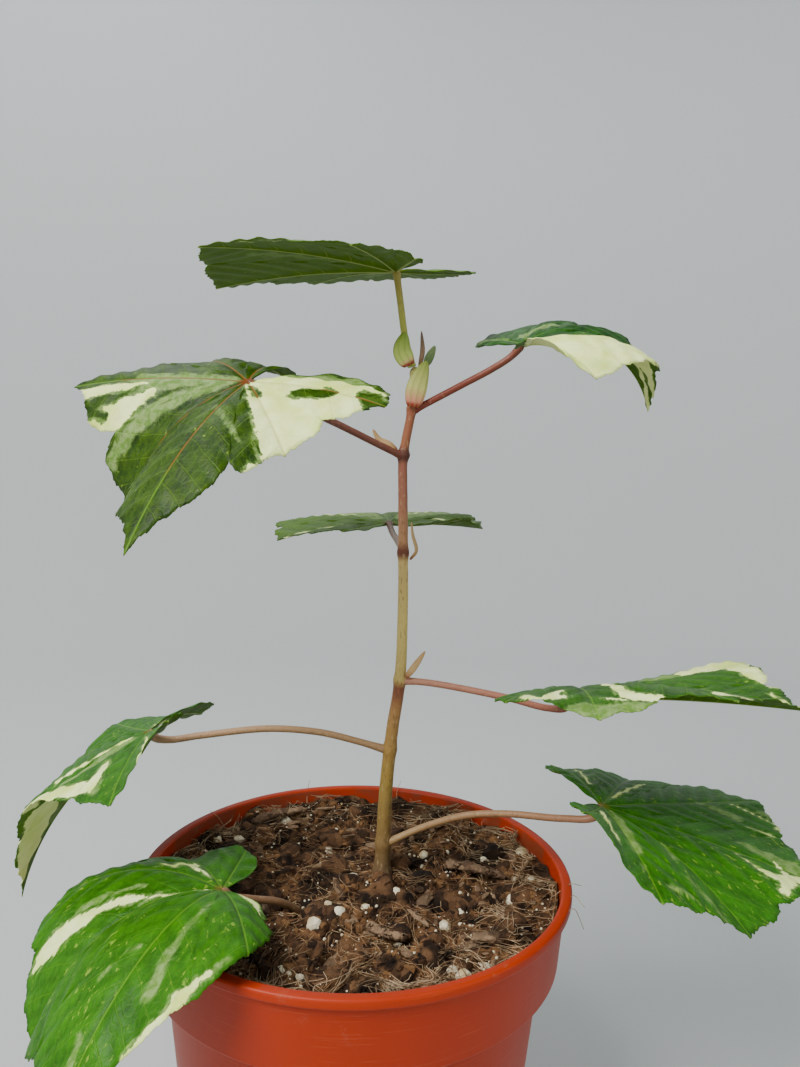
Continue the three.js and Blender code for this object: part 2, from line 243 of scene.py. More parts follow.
def keep_values(mesh, label, values):
    """Keeps one number, or one vector, for each point of a mesh."""
    values = np.asarray(values, np.float32)
    kind, slot = ("FLOAT_VECTOR", "vector") if values.ndim == 2 else ("FLOAT", "value")
    mesh.attributes.new(label, kind, "POINT").data.foreach_set(slot, values.ravel())


def tube_faces(rings, sides):
    """The four-sided faces between rings of points that follow each other."""
    faces = []
    for i in range(rings - 1):
        for k in range(sides):
            a, b = i * sides + k, i * sides + (k + 1) % sides
            faces.append((a, b, b + sides, a + sides))
    return faces


# %% Recipes
class Recipe(Bench):
    SOCKETS = {float: "NodeSocketFloat", int: "NodeSocketInt", type(None): "NodeSocketMaterial"}

    def __init__(self, name, **inputs):
        tree = bpy.data.node_groups.new(name, "GeometryNodeTree")
        super().__init__(tree)
        self.ids = {}
        for way in ("INPUT", "OUTPUT"):
            tree.interface.new_socket("Geometry", in_out=way, socket_type="NodeSocketGeometry")
        for label, start in inputs.items():
            kind = self.SOCKETS[type(start)]
            socket = tree.interface.new_socket(label, in_out="INPUT", socket_type=kind)
            if start is not None:
                socket.default_value = start
            self.ids[label] = socket.identifier
        self.door = tree.nodes.new("NodeGroupInput")
        self.exit = tree.nodes.new("NodeGroupOutput")

    def input(self, label="Geometry"):
        return Wire(self, self.door.outputs[label])

    def between(self, low, high, share):
        """A size between two named inputs."""
        return self.input(low) + (self.input(high) - self.input(low)) * share

    def random(self, seed, low=0.0, high=1.0):
        """A random number or vector for each point."""
        kind, first, out = ("FLOAT_VECTOR", 0, 0) if isinstance(low, tuple) else ("FLOAT", 2, 1)
        return self.node("FunctionNodeRandomValue", {"data_type": kind},
                         {first: low, first + 1: high, "Seed": seed}, out)

    def turn(self, seed, low, high):
        return self.node("FunctionNodeEulerToRotation", {}, {"Euler": self.random(seed, low, high)})

    def position(self):
        return self.node("GeometryNodeInputPosition")

    def points(self):
        """Random points on the faces of the starting mesh."""
        return self.node("GeometryNodeDistributePointsOnFaces", {"distribute_method": "RANDOM"},
                         {"Mesh": self.input(), "Density": self.input("Density"),
                          "Seed": self.input("Seed")})

    def laid(self, **values):
        """One copy of a shape on each random point."""
        return self.node("GeometryNodeInstanceOnPoints", {}, {"Points": self.points(), **values})

    def scaled(self, vector, factor):
        return self.node("ShaderNodeVectorMath", {"operation": "SCALE"},
                         {0: vector, "Scale": factor}, out="Vector")

    def moved(self, geometry, **values):
        return self.node("GeometryNodeSetPosition", {}, {"Geometry": geometry, **values})

    def ring(self, sides, radius):
        return self.node("GeometryNodeCurvePrimitiveCircle", {"mode": "RADIUS"},
                         {"Resolution": sides, "Radius": radius})

    def finish(self, geometry):
        whole = self.node("GeometryNodeRealizeInstances", {}, {"Geometry": geometry})
        whole = self.node("GeometryNodeSetMaterial", {},
                          {"Geometry": whole, "Material": self.input("Material")})
        self.tree.links.new(whole.socket, self.exit.inputs[0])

    def make(self, name, start, **values):
        holder = new_object(name + "_start", start)
        modifier = holder.modifiers.new(name, "NODES")
        modifier.node_group = self.tree
        for label, value in values.items():
            modifier[self.ids[label]] = value
        holder.update_tag()
        graph = bpy.context.evaluated_depsgraph_get()
        mesh = bpy.data.meshes.new_from_object(holder.evaluated_get(graph), depsgraph=graph)
        mesh.name = name
        holder.modifiers.remove(modifier)
        bpy.data.objects.remove(holder)
        print(f"{name}: {len(mesh.polygons)} faces")
        return new_object(name, mesh)


def stand_for(piece, slot, *nodes):
    """Hands a finished piece to the frame: its body and the solids it stands for. The slot is not
    used.
    """
    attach(piece, "root")
    if nodes:
        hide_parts(*nodes)


# %% [markdown]
# ## Sizes
# The same named sizes as the part's source, in millimetres. The pot, the mix, the stem and its
# stalks follow short lists of points. A leaf is a rule: how it is turned, how far its halves fold
# up, how long it is, how wide it spreads, how deep its bays are cut, how far each lobe reaches and
# droops, and the line of its stalk, at whose end the blade begins.
#
# Not all of these numbers were set by eye. Those of each leaf, apart from its stalk, came out of a
# separate fitting program, which turned and bent the rule until its outline met one traced from
# the picture, and they were then rounded. The camera below was fitted to the rim and the collar
# by such a program too. The points of the stem and the stalks were read off the picture and
# turned into millimetres at a chosen depth.

# %% Pot, potting mix and stem
POT = dict(height=105, rim=60, wall=1.3, floor=1.6, foot=43, neck=52.3, collar_z=84.5,
           collar=56.7, collar_top=58.3, lip=2.6, lip_wide=2.9, liner=0.6, recess=1.1,
           foot_ring=(6.5, 5.2), rounding=0.9)
MIX = dict(edge=96.5, mound=2.5, bank=4.2)
STEM = dict(foot=99.4, top=246, foot_r=2.2, mid_r=1.55, top_r=1.2, flare=0.9, node_r=0.35,
            collar_r=0.3, nodes=[108, 136, 156.5, 193.5, 221.5, 234.8, 245.5],
            path=[(7, 7, 98), (7.7, 7.5, 124), (9.2, 8, 142), (11, 8, 156), (11.4, 8.5, 180),
                  (11.1, 8.5, 194), (10.8, 8.5, 206), (10.5, 9, 221), (11.2, 9, 226),
                  (12.7, 9, 235), (13.3, 9, 247)])
STALK = dict(radius=0.98, swell=0.3)
LOBES = np.array([-122, -83, -43, 0, 43, 83, 122.0])
BAYS = np.array([0.5, 0.8, 1, 1, 0.8, 0.5])
LEAF_END, NOTCH = 146.0, 0.09


# %% Leaves, from the top of the plant down
def leaf(turn, fold, size, spread, bay, reach, droop, stalk):
    return dict(at=np.array(stalk[-1], float), turn=turn, fold=fold, size=size, spread=spread,
                bay=bay, reach=np.array(reach), droop=np.array(droop, float), stalk=stalk)


LEAVES = [
    leaf((165, 4, -5), 8, 57, 1.01, 0.09,
         (0.53, 0.99, 0.96, 1, 0.99, 0.53, 0.29), (0, 4, 10, 14, 15, 12, 6),
         [(12.4, 9.2, 246.6), (10.4, 9.6, 254), (8.8, 9.4, 264), (7.3, 9, 273.5)]),
    leaf((200, -20, -25), 7, 52, 1.03, 0.32,
         (0.54, 0.67, 1.08, 1, 1.18, 0.67, 0.78), (56, 30, 15, 73, 33, 34, 18),
         [(10.5, 9, 221.2), (6.7, 6, 222.7), (-7.6, -3, 229.1), (-22, -11.7, 235),
          (-29.5, -16, 238.3)]),
    leaf((1, 25, 14), 6, 49, 0.79, 0.1,
         (0.53, 0.59, 0.78, 1, 0.9, 0.9, 0.68), (-6, 66, 59, 100, 44, 20, 9),
         [(12.7, 9, 234), (27, 8, 241.8), (34.7, 7, 246), (40, 6, 249.5), (43.2, 5, 253)]),
    leaf((96, 8, -2), 1, 51, 1.04, 0.19,
         (0.53, 0.64, 0.92, 1, 1.08, 0.75, 0.38), (-17, 12, 12, 17, 16, 19, 2),
         [(11.1, 8.5, 194), (9.4, 20, 196), (7.4, 36, 198), (6.4, 44, 200.3)]),
    leaf((-15, 8, -18), 13, 61, 0.94, 0.13,
         (0.56, 0.78, 0.88, 1, 1.14, 0.7, 0.8), (31, 46, 27, 13, -3, 15, 16),
         [(11, 8, 156.3), (19.8, 7, 156), (41.7, 4, 153), (53, 3, 150.6), (58, 2, 151),
          (59.6, 2, 154)]),
    leaf((198, -25, 7), -1, 56, 0.87, 0.12,
         (0.82, 0.75, 1.05, 1, 0.66, 0.68, 0.54), (23, -3, 18, 55, -2, 16, -20),
         [(7.9, 7.8, 135.7), (-1, 7, 138.4), (-12, 6, 141.1), (-26.6, 5, 142.1),
          (-45.4, 3, 140.3), (-54, 2, 139.2), (-58.4, 2, 139.8), (-59.8, 2, 141.8)]),
    leaf((-11, -13, -1), 5, 58, 0.88, 0.1,
         (0.46, 0.73, 0.82, 1, 1.12, 0.73, 0.65), (-17, 19, 29, 5, 2, 17, 25),
         [(7, 7, 107.6), (19.3, 6, 113.8), (30.9, 3, 118.7), (42.2, 0, 120.7),
          (57.2, -3, 121), (65.5, -5, 122.4), (67.7, -5, 125.8)]),
    leaf((208, 18, 4), 14, 61, 1.0, 0.1,
         (0.38, 0.4, 0.8, 1, 1.03, 0.57, 0.25), (-2, 32, 61, 102, 94, 32, 41),
         [(-16, -7, 94.9), (-17.7, -9, 97.2), (-20.5, -12, 100), (-26.8, -17, 103.3),
          (-31.1, -21, 106), (-33.3, -23, 108.7)]),
]
lengths = [one["size"] for one in LEAVES]
print(len(LEAVES), "leaves,", round(sum(lengths) / len(lengths)), "mm long on average")

# %% [markdown]
# ## Camera
# It stands where the photograph was taken from: close to the plant, a little above the mix, and
# turned slightly. The lens gives a wide view, so near leaves look larger, as they do there.

# %% Camera
FRAME = (800, 1067)                                        # the picture in pixels
CAMERA = dict(at=(0.0101, -0.2212, 0.2137), pitch=86.34, roll=1.32, focal=27.0, sensor=36.0)
lens = bpy.data.cameras.new("camera")
lens.lens, lens.sensor_width, lens.clip_start = CAMERA["focal"], CAMERA["sensor"], 0.01
camera = bpy.data.objects.new("camera", lens)
bpy.context.scene.collection.objects.link(camera)
camera.matrix_world = (Matrix.Translation(CAMERA["at"])
                       @ Matrix.Rotation(math.radians(CAMERA["pitch"]), 4, "X")
                       @ Matrix.Rotation(math.radians(CAMERA["roll"]), 4, "Z"))
bpy.context.scene.camera = camera


def seen_at(point):
    """Where a point falls in the picture, in pixels."""
    local = camera.matrix_world.inverted() @ (Vector(point) * MM)
    zoom = CAMERA["focal"] / CAMERA["sensor"] * FRAME[1] / -local.z
    return FRAME[0] / 2 + zoom * local.x, FRAME[1] / 2 - zoom * local.y


for name, point in (("front of the rim", (0, -60, 105)), ("top of the stem", (13.3, 9, 247))):
    print(name, "at", [round(v) for v in seen_at(point)])

# %% [markdown]
# ## Floor and light
# A pale floor runs out flat and curves up far away on all sides, like a studio bowl, so that no
# horizon cuts the picture. A large soft lamp high on the left gives the main daylight, a weaker
# one fills from the right, a third lifts the back of the floor, and the sky gives an even grey.

# %% Studio bowl
def studio_bowl(flat=0.75, far=1.7, high=1.9, sides=96, steps=14):
    rings = [(flat * (i / 3), 0) for i in range(1, 4)]
    rings += [(flat + (far - flat) * math.sin(a), high * (1 - math.cos(a)))
              for a in (math.pi / 2 * i / steps for i in range(1, steps + 1))]
    points = [(0, 0, 0)]
    for r, z in rings:
        points += [(r * math.cos(2 * math.pi * k / sides), r * math.sin(2 * math.pi * k / sides), z)
                   for k in range(sides)]
    faces = [(0, 1 + k, 1 + (k + 1) % sides) for k in range(sides)]
    for i in range(len(rings) - 1):
        for k in range(sides):
            a, b = 1 + i * sides + k, 1 + i * sides + (k + 1) % sides
            faces.append((a, a + sides, b + sides, b))
    bowl = new_object("studio_floor", mesh_from("studio_floor", points, faces))
    bowl.data.shade_smooth()
    return bowl


floor_finish = Finish("pale_floor", Roughness=0.9)
# The bowl is painted lighter as it rises: painted light that evens out its far wall, which the
# lamps reach less.
height = floor_finish.split(floor_finish.place())[2]
floor_finish.set("Base Color", floor_finish.mix(height.step(0.0, 1.1), colour(176, 180, 179),
                                                colour(196, 199, 200)))
floor = studio_bowl()
floor.data.materials.append(floor_finish.material)


# %% Lamps
def lamp(name, place, aim, size, power, tint):
    light = bpy.data.lights.new(name, "AREA")
    light.shape, light.size, light.energy, light.color = "DISK", size, power, tint
    made = bpy.data.objects.new(name, light)
    bpy.context.scene.collection.objects.link(made)
    turn = (Vector(aim) - Vector(place)).to_track_quat("-Z", "Y").to_matrix().to_4x4()
    made.matrix_world = Matrix.Translation(place) @ turn
    made.visible_camera = False
    return made


lamp("window", (-0.7, -0.75, 1.2), (0, 0, 0.15), 0.8, 34.0, (1.0, 0.985, 0.955))
lamp("fill", (1.1, -0.5, 0.7), (0, 0, 0.15), 1.1, 3.0, (0.95, 0.98, 1.0))
lamp("back", (-0.5, 0.9, 1.7), (-0.1, 0.4, 0), 1.3, 9.0, (0.98, 0.99, 1.0))
world = bpy.data.worlds.new("sky")
world.use_nodes = True
sky = world.node_tree.nodes["Background"]
sky.inputs["Color"].default_value = colour(212, 217, 221)
sky.inputs["Strength"].default_value = 0.85
bpy.context.scene.world = world

# %% [markdown]
# ## Pot
# A moulded plastic pot: flat underside, slanting wall, a step out to a tall collar and a rounded
# lip. It is one profile turned round an axis, which is what Curve to Mesh does when the profile
# runs along a circle. The profile is a small mesh of edges, so its corners can be rounded in
# Python first.


# %% Profile of the pot
def rounded(line, radius, steps=5):
    """Rounds each inner corner of a line of points by a short curve."""
    out = [line[0]]
    for before, corner, after in zip(line, line[1:], line[2:]):
        before, corner, after = (np.array(p, float) for p in (before, corner, after))
        a, b = before - corner, after - corner
        cut = min(radius, 0.45 * np.linalg.norm(a), 0.45 * np.linalg.norm(b))
        a, b = corner + a / np.linalg.norm(a) * cut, corner + b / np.linalg.norm(b) * cut
        for i in range(steps + 1):
            t = i / steps
            out.append(tuple((1 - t) ** 2 * a + 2 * t * (1 - t) * corner + t * t * b))
    return out + [line[-1]]


def pot_profile():
    p, step = POT, POT["collar_z"] + POT["wall"]
    foot, neck, collar, rim, height = p["foot"], p["neck"], p["collar"], p["rim"], p["height"]
    under_lip, floor = height - p["lip"], p["floor"] + p["liner"]
    ring_in, ring_out = p["foot_ring"]
    return rounded([
        (0, p["recess"]), (foot - ring_in, p["recess"]), (foot - ring_out, 0), (foot, 0),
        (neck, p["collar_z"]), (collar, p["collar_z"]), (p["collar_top"], under_lip),
        (rim, under_lip), (rim, height), (rim - p["lip_wide"], height),
        (collar - p["wall"], step + p["liner"]), (neck - p["wall"] + 0.2, step),
        (foot - p["wall"], floor), (0, floor)], p["rounding"])


print(len(pot_profile()), "points in the pot's profile")

# %% Turned by Geometry Nodes
turned = Recipe("turned_profile", Sides=128, Material=None)
circle = turned.ring(turned.input("Sides"), 0.005 * MM)
profile = turned.node("GeometryNodeMeshToCurve", {}, {"Mesh": turned.input()})
skin = turned.node("GeometryNodeCurveToMesh", {}, {"Curve": circle, "Profile Curve": profile})
skin = turned.node("GeometryNodeMergeByDistance", {}, {"Geometry": skin, "Distance": 2e-5})
skin = turned.node("GeometryNodeSetShadeSmooth", {}, {"Geometry": skin})
turned.finish(skin)

# %% [markdown]
# ### Terracotta-coloured plastic
# Matte orange-brown plastic with a faint sheen. It is a little darker where hands and soil have
# rubbed it, lighter in fine scratches, and pale with dried splashes of mix near the lip.

# %% Finish of the pot
pot_finish = Finish("terracotta_plastic", Roughness=0.42, Specular_IOR_Level=0.22)
where = pot_finish.place()
x, y, z = pot_finish.split(where)
broad = pot_finish.noise(where, 28, 3)
fine = pot_finish.noise(where, 900, 2)
scratch = pot_finish.noise(pot_finish.stretch(where, (60, 60, 2600)), 1.0, 2).step(0.63, 0.7)
dust = pot_finish.noise(where, 160, 5, 0.7).step(0.6, 0.75) * z.step(0.088, 0.104)
base = pot_finish.mix(broad, colour(148, 36, 0), colour(166, 46, 2))
base = pot_finish.mix(scratch * 0.16, base, colour(200, 96, 56))
base = pot_finish.mix(dust * 0.35, base, colour(150, 120, 92))
radius = (x * x + y * y).maths("SQRT")
inside = (radius < (POT["rim"] - POT["lip_wide"]) * MM) * (z > (MIX["edge"] - 1) * MM)
soiled = inside * pot_finish.noise(where, 90, 4).step(0.45, 0.62)
base = pot_finish.mix(soiled * 0.55, base, colour(96, 66, 48))
pot_finish.set("Base Color", base)
pot_finish.set("Roughness", 0.38 + broad * 0.14 + dust * 0.25)
pot_finish.set("Normal", pot_finish.bump(fine + scratch * 0.6, 0.00006, 0.35))
outline = pot_profile()
pot_start = mesh_from("pot_profile", [(r * MM, -z * MM, 0) for r, z in outline],
                      edges=[(i, i + 1) for i in range(len(outline) - 1)])
pot = turned.make("plastic_pot", pot_start, Sides=144, Material=pot_finish.material)
low, high = Vector(pot.bound_box[0]), Vector(pot.bound_box[6])
print("pot from", [round(v / MM, 2) for v in low], "to", [round(v / MM, 2) for v in high])
stand_for(pot, "pot_plastic", "pot")

# %% [markdown]
# ## Potting mix
# Peat and coir with bark, fibres and perlite. The body is one closed mesh with the rule of the
# solid and finer lumps on its top. Loose grains lie on it: points are spread on its top faces, and
# each gets a grain, turned and sized at random. Fibres start as straight lines, are made real, and
# only then bent by a noise, so that no two are alike.


# %% Body of the mix
CLOD_SIZES = ((10.0, 3.2), (4.5, 2.0), (1.9, 0.8))         # width and height of its lumps, in mm


def from_stem(x, y):
    """Square of the distance from the stem's foot."""
    return (x - 7) ** 2 + (y - 7) ** 2


def mix_height(x, y):
    """The rule of the solid: a mound at the stem, waves, one dip, and a bank towards the wall."""
    r2 = from_stem(x, y)
    waves = (0.5 * np.sin(0.31 * x + 1.1) * np.cos(0.27 * y)
             + 0.35 * np.sin(0.19 * x - 0.44 * y + 2) + 0.25 * np.sin(0.62 * x + 0.5 * y))
    dip = 1.4 * np.exp(-((x + 16) ** 2 + (y + 7) ** 2) / 90)
    ends = np.clip([(np.hypot(x, y) - 36) / 16, (y + 32) / 22], 0, 1)
    bank = MIX["bank"] * np.prod(ends * ends * (3 - 2 * ends), axis=0)
    mound = MIX["mound"] * np.exp(-r2 / 300)
    return MIX["edge"] + mound + waves * (1 - np.exp(-r2 / 40)) - dip + bank


def wall_radius(z):
    """Inner wall of the pot above its step."""
    step = POT["collar_z"] + POT["wall"] + POT["liner"]
    low, high = POT["collar"] - POT["wall"], POT["rim"] - POT["lip_wide"]
    return low + (high - low) * (z - step) / (POT["height"] - POT["rounding"] - step)


def clods(x, y):
    """Clods and crumbs on the top of the mix, in millimetres."""
    value = sum(height * noise.noise(Vector((x / size, y / size, size)))
                for size, height in CLOD_SIZES)
    return value * (1 - math.exp(-from_stem(x, y) / 18))


def mix_body(sides=180, rings=56):
    """Points and faces of the mix, which stays a few tenths of a millimetre off the pot."""
    shelf = POT["collar_z"] + POT["wall"] + POT["liner"] + 0.34
    neck = POT["neck"] - POT["wall"] - 0.54
    wall = [(POT["foot"] - POT["wall"] - 0.4, POT["floor"] + 1.0), (neck, POT["collar_z"]),
            (neck, shelf), (wall_radius(shelf) - 0.54, shelf + 0.05), (wall_radius(94) - 0.3, 94)]
    turn = 2 * math.pi * np.arange(sides) / sides
    points = [(r * math.cos(a), r * math.sin(a), z) for r, z in wall for a in turn]
    edge = wall_radius(MIX["edge"]) - 0.1
    for i in range(rings):
        r = edge * (1 - i / rings) + 0.3 * i / rings
        for a in turn:
            x, y = r * math.cos(a), r * math.sin(a)
            points.append((x, y, float(mix_height(x, y)) + clods(x, y)))
    faces = tube_faces(len(wall) + rings, sides)
    faces.append(tuple(range(sides))[::-1])
    faces.append(tuple(range(len(points) - sides, len(points))))
    return np.array(points) * MM, faces


# %% Finish of the mix
def earth(name, dark, light, size=420, rough=0.95, painted_shade=0.8):
    """Dull earth: two tones from crumb to crumb, a fine grain, and dark patches of painted shade.
    """
    made = Finish(name, Roughness=rough, Specular_IOR_Level=0.2)
    where = made.place()
    crumb = made.cells(where, size, out="Color")
    shade = made.split(crumb)[0] * 0.6 + made.noise(where, 180, 4, 0.6) * 0.5
    grain = made.noise(where, 2400, 3, 0.7)
    base = made.mix(shade.step(0.2, 0.95), dark, light)
    base = made.mix(grain.step(0.5, 0.8) * 0.45, base, light)
    # Dark patches that follow the place, alike in every piece of the mix, are painted shade of
    # hollows.
    shade_patch = 1 - made.noise(where, 90, 2).step(0.38, 0.5)
    made.set("Base Color", made.mix(shade_patch * painted_shade, base, colour(16, 10, 7)))
    made.set("Normal", made.bump(grain + made.noise(where, 700, 3), 0.0007, 0.9))
    return made.material


mix_finish = earth("peat_and_coir", colour(38, 25, 16), colour(122, 88, 58))
points, faces = mix_body()
mix = new_object("potting_mix", mesh_from("potting_mix", points, faces))
mix.data.materials.append(mix_finish)
print("potting mix:", len(mix.data.polygons), "faces")
stand_for(mix, "potting_mix", "soil")

# %% Where loose grains may lie
def mix_top(inner=0.0, outer=0.0545):
    """The top faces of the mix between two radii, as a mesh to spread things on."""
    shape = bmesh.new()
    shape.from_mesh(mix.data)
    gone = [f for f in shape.faces
            if f.normal.z < 0.3 or f.calc_center_median().z < 0.092 or len(f.verts) > 4
            or not inner < f.calc_center_median().xy.length < outer]
    bmesh.ops.delete(shape, geom=gone, context="FACES")
    made = bpy.data.meshes.new("mix_top")
    shape.to_mesh(made)
    shape.free()
    return made


# %% Recipe for grains
grains = Recipe("grains", Density=1000.0, Smallest=0.5, Largest=1.0, Tall=1.0, Long=1.0, Jag=0.3,
                Sink=0.2, Seed=1, Detail=1, Material=None)
seed = grains.input("Seed")
grain = grains.node("GeometryNodeMeshIcoSphere", {},
                    {"Radius": MM, "Subdivisions": grains.input("Detail")})
jag = grains.node("ShaderNodeTexNoise", {"noise_dimensions": "4D"},
                  {"Vector": grains.position(), "W": seed * 3.7, "Scale": 900.0, "Detail": 3.0,
                   "Roughness": 0.65}, out="Color")
jag = grains.vector("SUBTRACT", jag, (0.5, 0.5, 0.5))
grain = grains.moved(grain, Offset=grains.scaled(jag, grains.input("Jag") * (3 * MM)))
size = grains.between("Smallest", "Largest", grains.random(seed + 11.0) ** 2.2)
turn = grains.turn(seed + 23.0, (-0.5, -0.5, 0.0), (0.5, 0.5, 6.28))
shape = grains.join(size * grains.input("Long"), size, size * grains.input("Tall"))
spread = grains.laid(Instance=grain, Rotation=turn, Scale=shape)
drop = grains.join(0.0, 0.0, grains.input("Sink") * (-MM))
grains.finish(grains.node("GeometryNodeTranslateInstances", {},
                          {"Instances": spread, "Translation": drop, "Local Space": False}))

# %% Recipe for fibres
FIBRE_REACH = 0.0556                                       # fibres stay this far from the axis
fibres = Recipe("fibres", Density=1000.0, Shortest=5.0, Longest=20.0, Thick=0.12, Wiggle=4.0,
                Lift=0.6, Seed=1, Sides=4, Material=None)
seed = fibres.input("Seed")
line = fibres.node("GeometryNodeCurvePrimitiveLine", {},
                   {"Start": (-0.5 * MM, 0.0, 0.0), "End": (0.5 * MM, 0.0, 0.0)})
line = fibres.node("GeometryNodeResampleCurve", {"mode": "COUNT"}, {"Curve": line, "Count": 9})
reach = fibres.between("Shortest", "Longest", fibres.random(seed + 5.0) ** 2.0)
turn = fibres.turn(seed + 7.0, (-0.1, -0.16, 0.0), (0.1, 0.16, 6.28))
spread = fibres.laid(Instance=line, Rotation=turn, Scale=fibres.join(reach, 1.0, 1.0))
spread = fibres.node("GeometryNodeRealizeInstances", {}, {"Geometry": spread})
bend = Wire(fibres, fibres.noise(fibres.position(), 95.0, 1.0).socket.node.outputs["Color"])
bend = fibres.vector("SUBTRACT", bend, (0.5, 0.5, 0.46))
bend = fibres.scaled(bend, fibres.input("Wiggle") * (2 * MM))
spread = fibres.moved(spread, Offset=fibres.stretch(bend, (1.0, 1.0, 0.45)))
spread = fibres.moved(spread, Offset=fibres.join(0.0, 0.0, fibres.input("Lift") * MM))
x, y, z = fibres.split(fibres.position())
inward = (FIBRE_REACH / ((x * x + y * y).maths("SQRT"))).maths("MINIMUM", 1.0)
spread = fibres.moved(spread, Position=fibres.join(x * inward, y * inward, z))
ring = fibres.ring(fibres.input("Sides"), fibres.input("Thick") * MM)
fibres.finish(fibres.node("GeometryNodeCurveToMesh", {},
                          {"Curve": spread, "Profile Curve": ring, "Fill Caps": True}))

# %% Finishes of what lies loose
peat_dark = earth("dark_peat", colour(34, 22, 14), colour(112, 80, 54))
peat_warm = earth("brown_coir", colour(62, 40, 24), colour(136, 98, 62))
bark = earth("pine_bark", colour(84, 62, 46), colour(158, 130, 102), 260, painted_shade=0.4)
coir = earth("coir_fibre", colour(124, 98, 70), colour(200, 170, 130), 300, 0.8, 0.5)
straw = earth("dry_fibre", colour(132, 108, 80), colour(200, 174, 140), 300, 0.8, 0.5)
root = earth("dark_fibre", colour(84, 58, 40), colour(150, 112, 78), 300, 0.85, 0.5)
white = Finish("perlite", Roughness=0.9, Specular_IOR_Level=0.3)
where = white.place()
pores = white.noise(where, 2200, 3, 0.6)
stain = white.noise(where, 260, 3).step(0.5, 0.72)
white.set("Base Color", white.mix(stain * 0.8, colour(222, 212, 184), colour(168, 136, 74)))
white.set("Normal", white.bump(pores, 0.0005, 0.8))
print("finishes:", [m.name for m in bpy.data.materials])


# %% Grains, chips, perlite and fibres
def loose(recipe, name, finish, inner=0.0, outer=0.0545, **values):
    piece = recipe.make(name, mix_top(inner, outer), Material=finish, **values)
    piece.data.shade_flat()
    stand_for(piece, "potting_mix")


loose(grains, "crumbs_small", peat_dark, Density=4.6e5, Smallest=0.35, Largest=1.3, Jag=0.5,
      Seed=3, Detail=1)
loose(grains, "crumbs_coir", peat_warm, Density=2.2e5, Smallest=0.3, Largest=1.5, Jag=0.5,
      Long=1.5, Seed=8, Detail=1)
loose(grains, "clods", peat_dark, outer=0.048, Density=3.4e4, Smallest=1.2, Largest=4.6,
      Tall=0.75, Jag=0.6, Sink=0.6, Seed=5, Detail=2)
loose(grains, "bark_chips", bark, outer=0.05, Density=1.6e4, Smallest=0.6, Largest=1.9,
      Tall=0.45, Long=2.6, Jag=0.6, Sink=-0.3, Seed=14, Detail=2)
loose(grains, "perlite_grains", white.material, outer=0.052, Density=1.2e4, Smallest=0.4,
      Largest=2.3, Tall=0.9, Jag=0.3, Sink=0.0, Seed=21, Detail=2)
loose(fibres, "coir_fibres", coir, Density=8.0e4, Shortest=2.0, Longest=14.0, Thick=0.065,
      Wiggle=9.0, Lift=0.9, Seed=2)
loose(fibres, "bank_fibres", straw, inner=0.042, Density=2.0e5, Shortest=3.0, Longest=12.0,
      Thick=0.08, Wiggle=10.0, Lift=1.4, Seed=6)
loose(grains, "pale_specks", white.material, Density=1.6e5, Smallest=0.1, Largest=0.5,
      Tall=0.9, Jag=0.3, Sink=-0.25, Seed=31, Detail=1)
loose(fibres, "dark_fibres", root, Density=9.0e4, Shortest=2.0, Longest=14.0, Thick=0.1,
      Wiggle=9.0, Lift=0.8, Seed=9)

# %% [markdown]
# ## Stem and stalks
# Each is a round section that follows a curved line and changes thickness along it. The line is
# a chain of edges that carries its own thickness, and one recipe sweeps a circle along it and
# raises a fine relief. The stem swells at its nodes, most at the one with a collar, and flares at
# its foot.


# %% A smooth line through points
def smooth_line(points, spacing):
    """Centripetal Catmull-Rom through the points, then even steps of the given length."""
    p = np.array(points, float)
    p = np.vstack([2 * p[0] - p[1], p, 2 * p[-1] - p[-2]])
    dense = []
    for a, b, c, d in zip(p, p[1:], p[2:], p[3:]):
        d0, d1, d2 = (max(np.linalg.norm(v) ** 0.5, 1e-6) for v in (b - a, c - b, d - c))
        start = ((b - a) / d0 - (c - a) / (d0 + d1) + (c - b) / d1) * d1
        end = ((c - b) / d1 - (d - b) / (d1 + d2) + (d - c) / d2) * d1
        t = np.linspace(0, 1, 60, endpoint=False)[:, None]
        dense.append((2 * t ** 3 - 3 * t ** 2 + 1) * b + (t ** 3 - 2 * t ** 2 + t) * start
                     + (3 * t ** 2 - 2 * t ** 3) * c + (t ** 3 - t ** 2) * end)
    dense = np.vstack([*dense, p[-2][None]])
    walked = np.concatenate([[0], np.cumsum(np.linalg.norm(np.diff(dense, axis=0), axis=1))])
    steps = np.linspace(0, walked[-1], max(2, round(walked[-1] / spacing) + 1))
    return np.column_stack([np.interp(steps, walked, dense[:, i]) for i in range(3)])


def chain(name, line, thick):
    """Edges along a line, with attributes for their thickness and how far along they are."""
    mesh = mesh_from(name, line * MM, edges=[(i, i + 1) for i in range(len(line) - 1)])
    keep_values(mesh, "thick", np.asarray(thick) * MM)
    keep_values(mesh, "along", np.linspace(0, 1, len(line)))
    return mesh


# %% Recipe for a limb
limb = Recipe("limb", Sides=24, Relief=0.05, Grain=900.0, Seed=1, Material=None)
line = limb.node("GeometryNodeMeshToCurve", {}, {"Mesh": limb.input()})
ring = limb.ring(limb.input("Sides"), 1.0)
thick = limb.node("GeometryNodeInputNamedAttribute", {"data_type": "FLOAT"}, {"Name": "thick"})
skin = limb.node("GeometryNodeCurveToMesh", {},
                 {"Curve": line, "Profile Curve": ring, "Scale": thick, "Fill Caps": True})
here = limb.stretch(limb.position(), (1.0, 1.0, 0.3))
here = limb.vector("ADD", here, limb.join(limb.input("Seed"), 0.0, 0.0))
ridge = (limb.noise(here, limb.input("Grain"), 3.0) - 0.5) * limb.input("Relief") * (2 * MM)
skin = limb.moved(skin, Offset=limb.scaled(limb.node("GeometryNodeInputNormal"), ridge))
skin = limb.node("GeometryNodeSetShadeSmooth", {}, {"Geometry": skin})
limb.finish(skin)


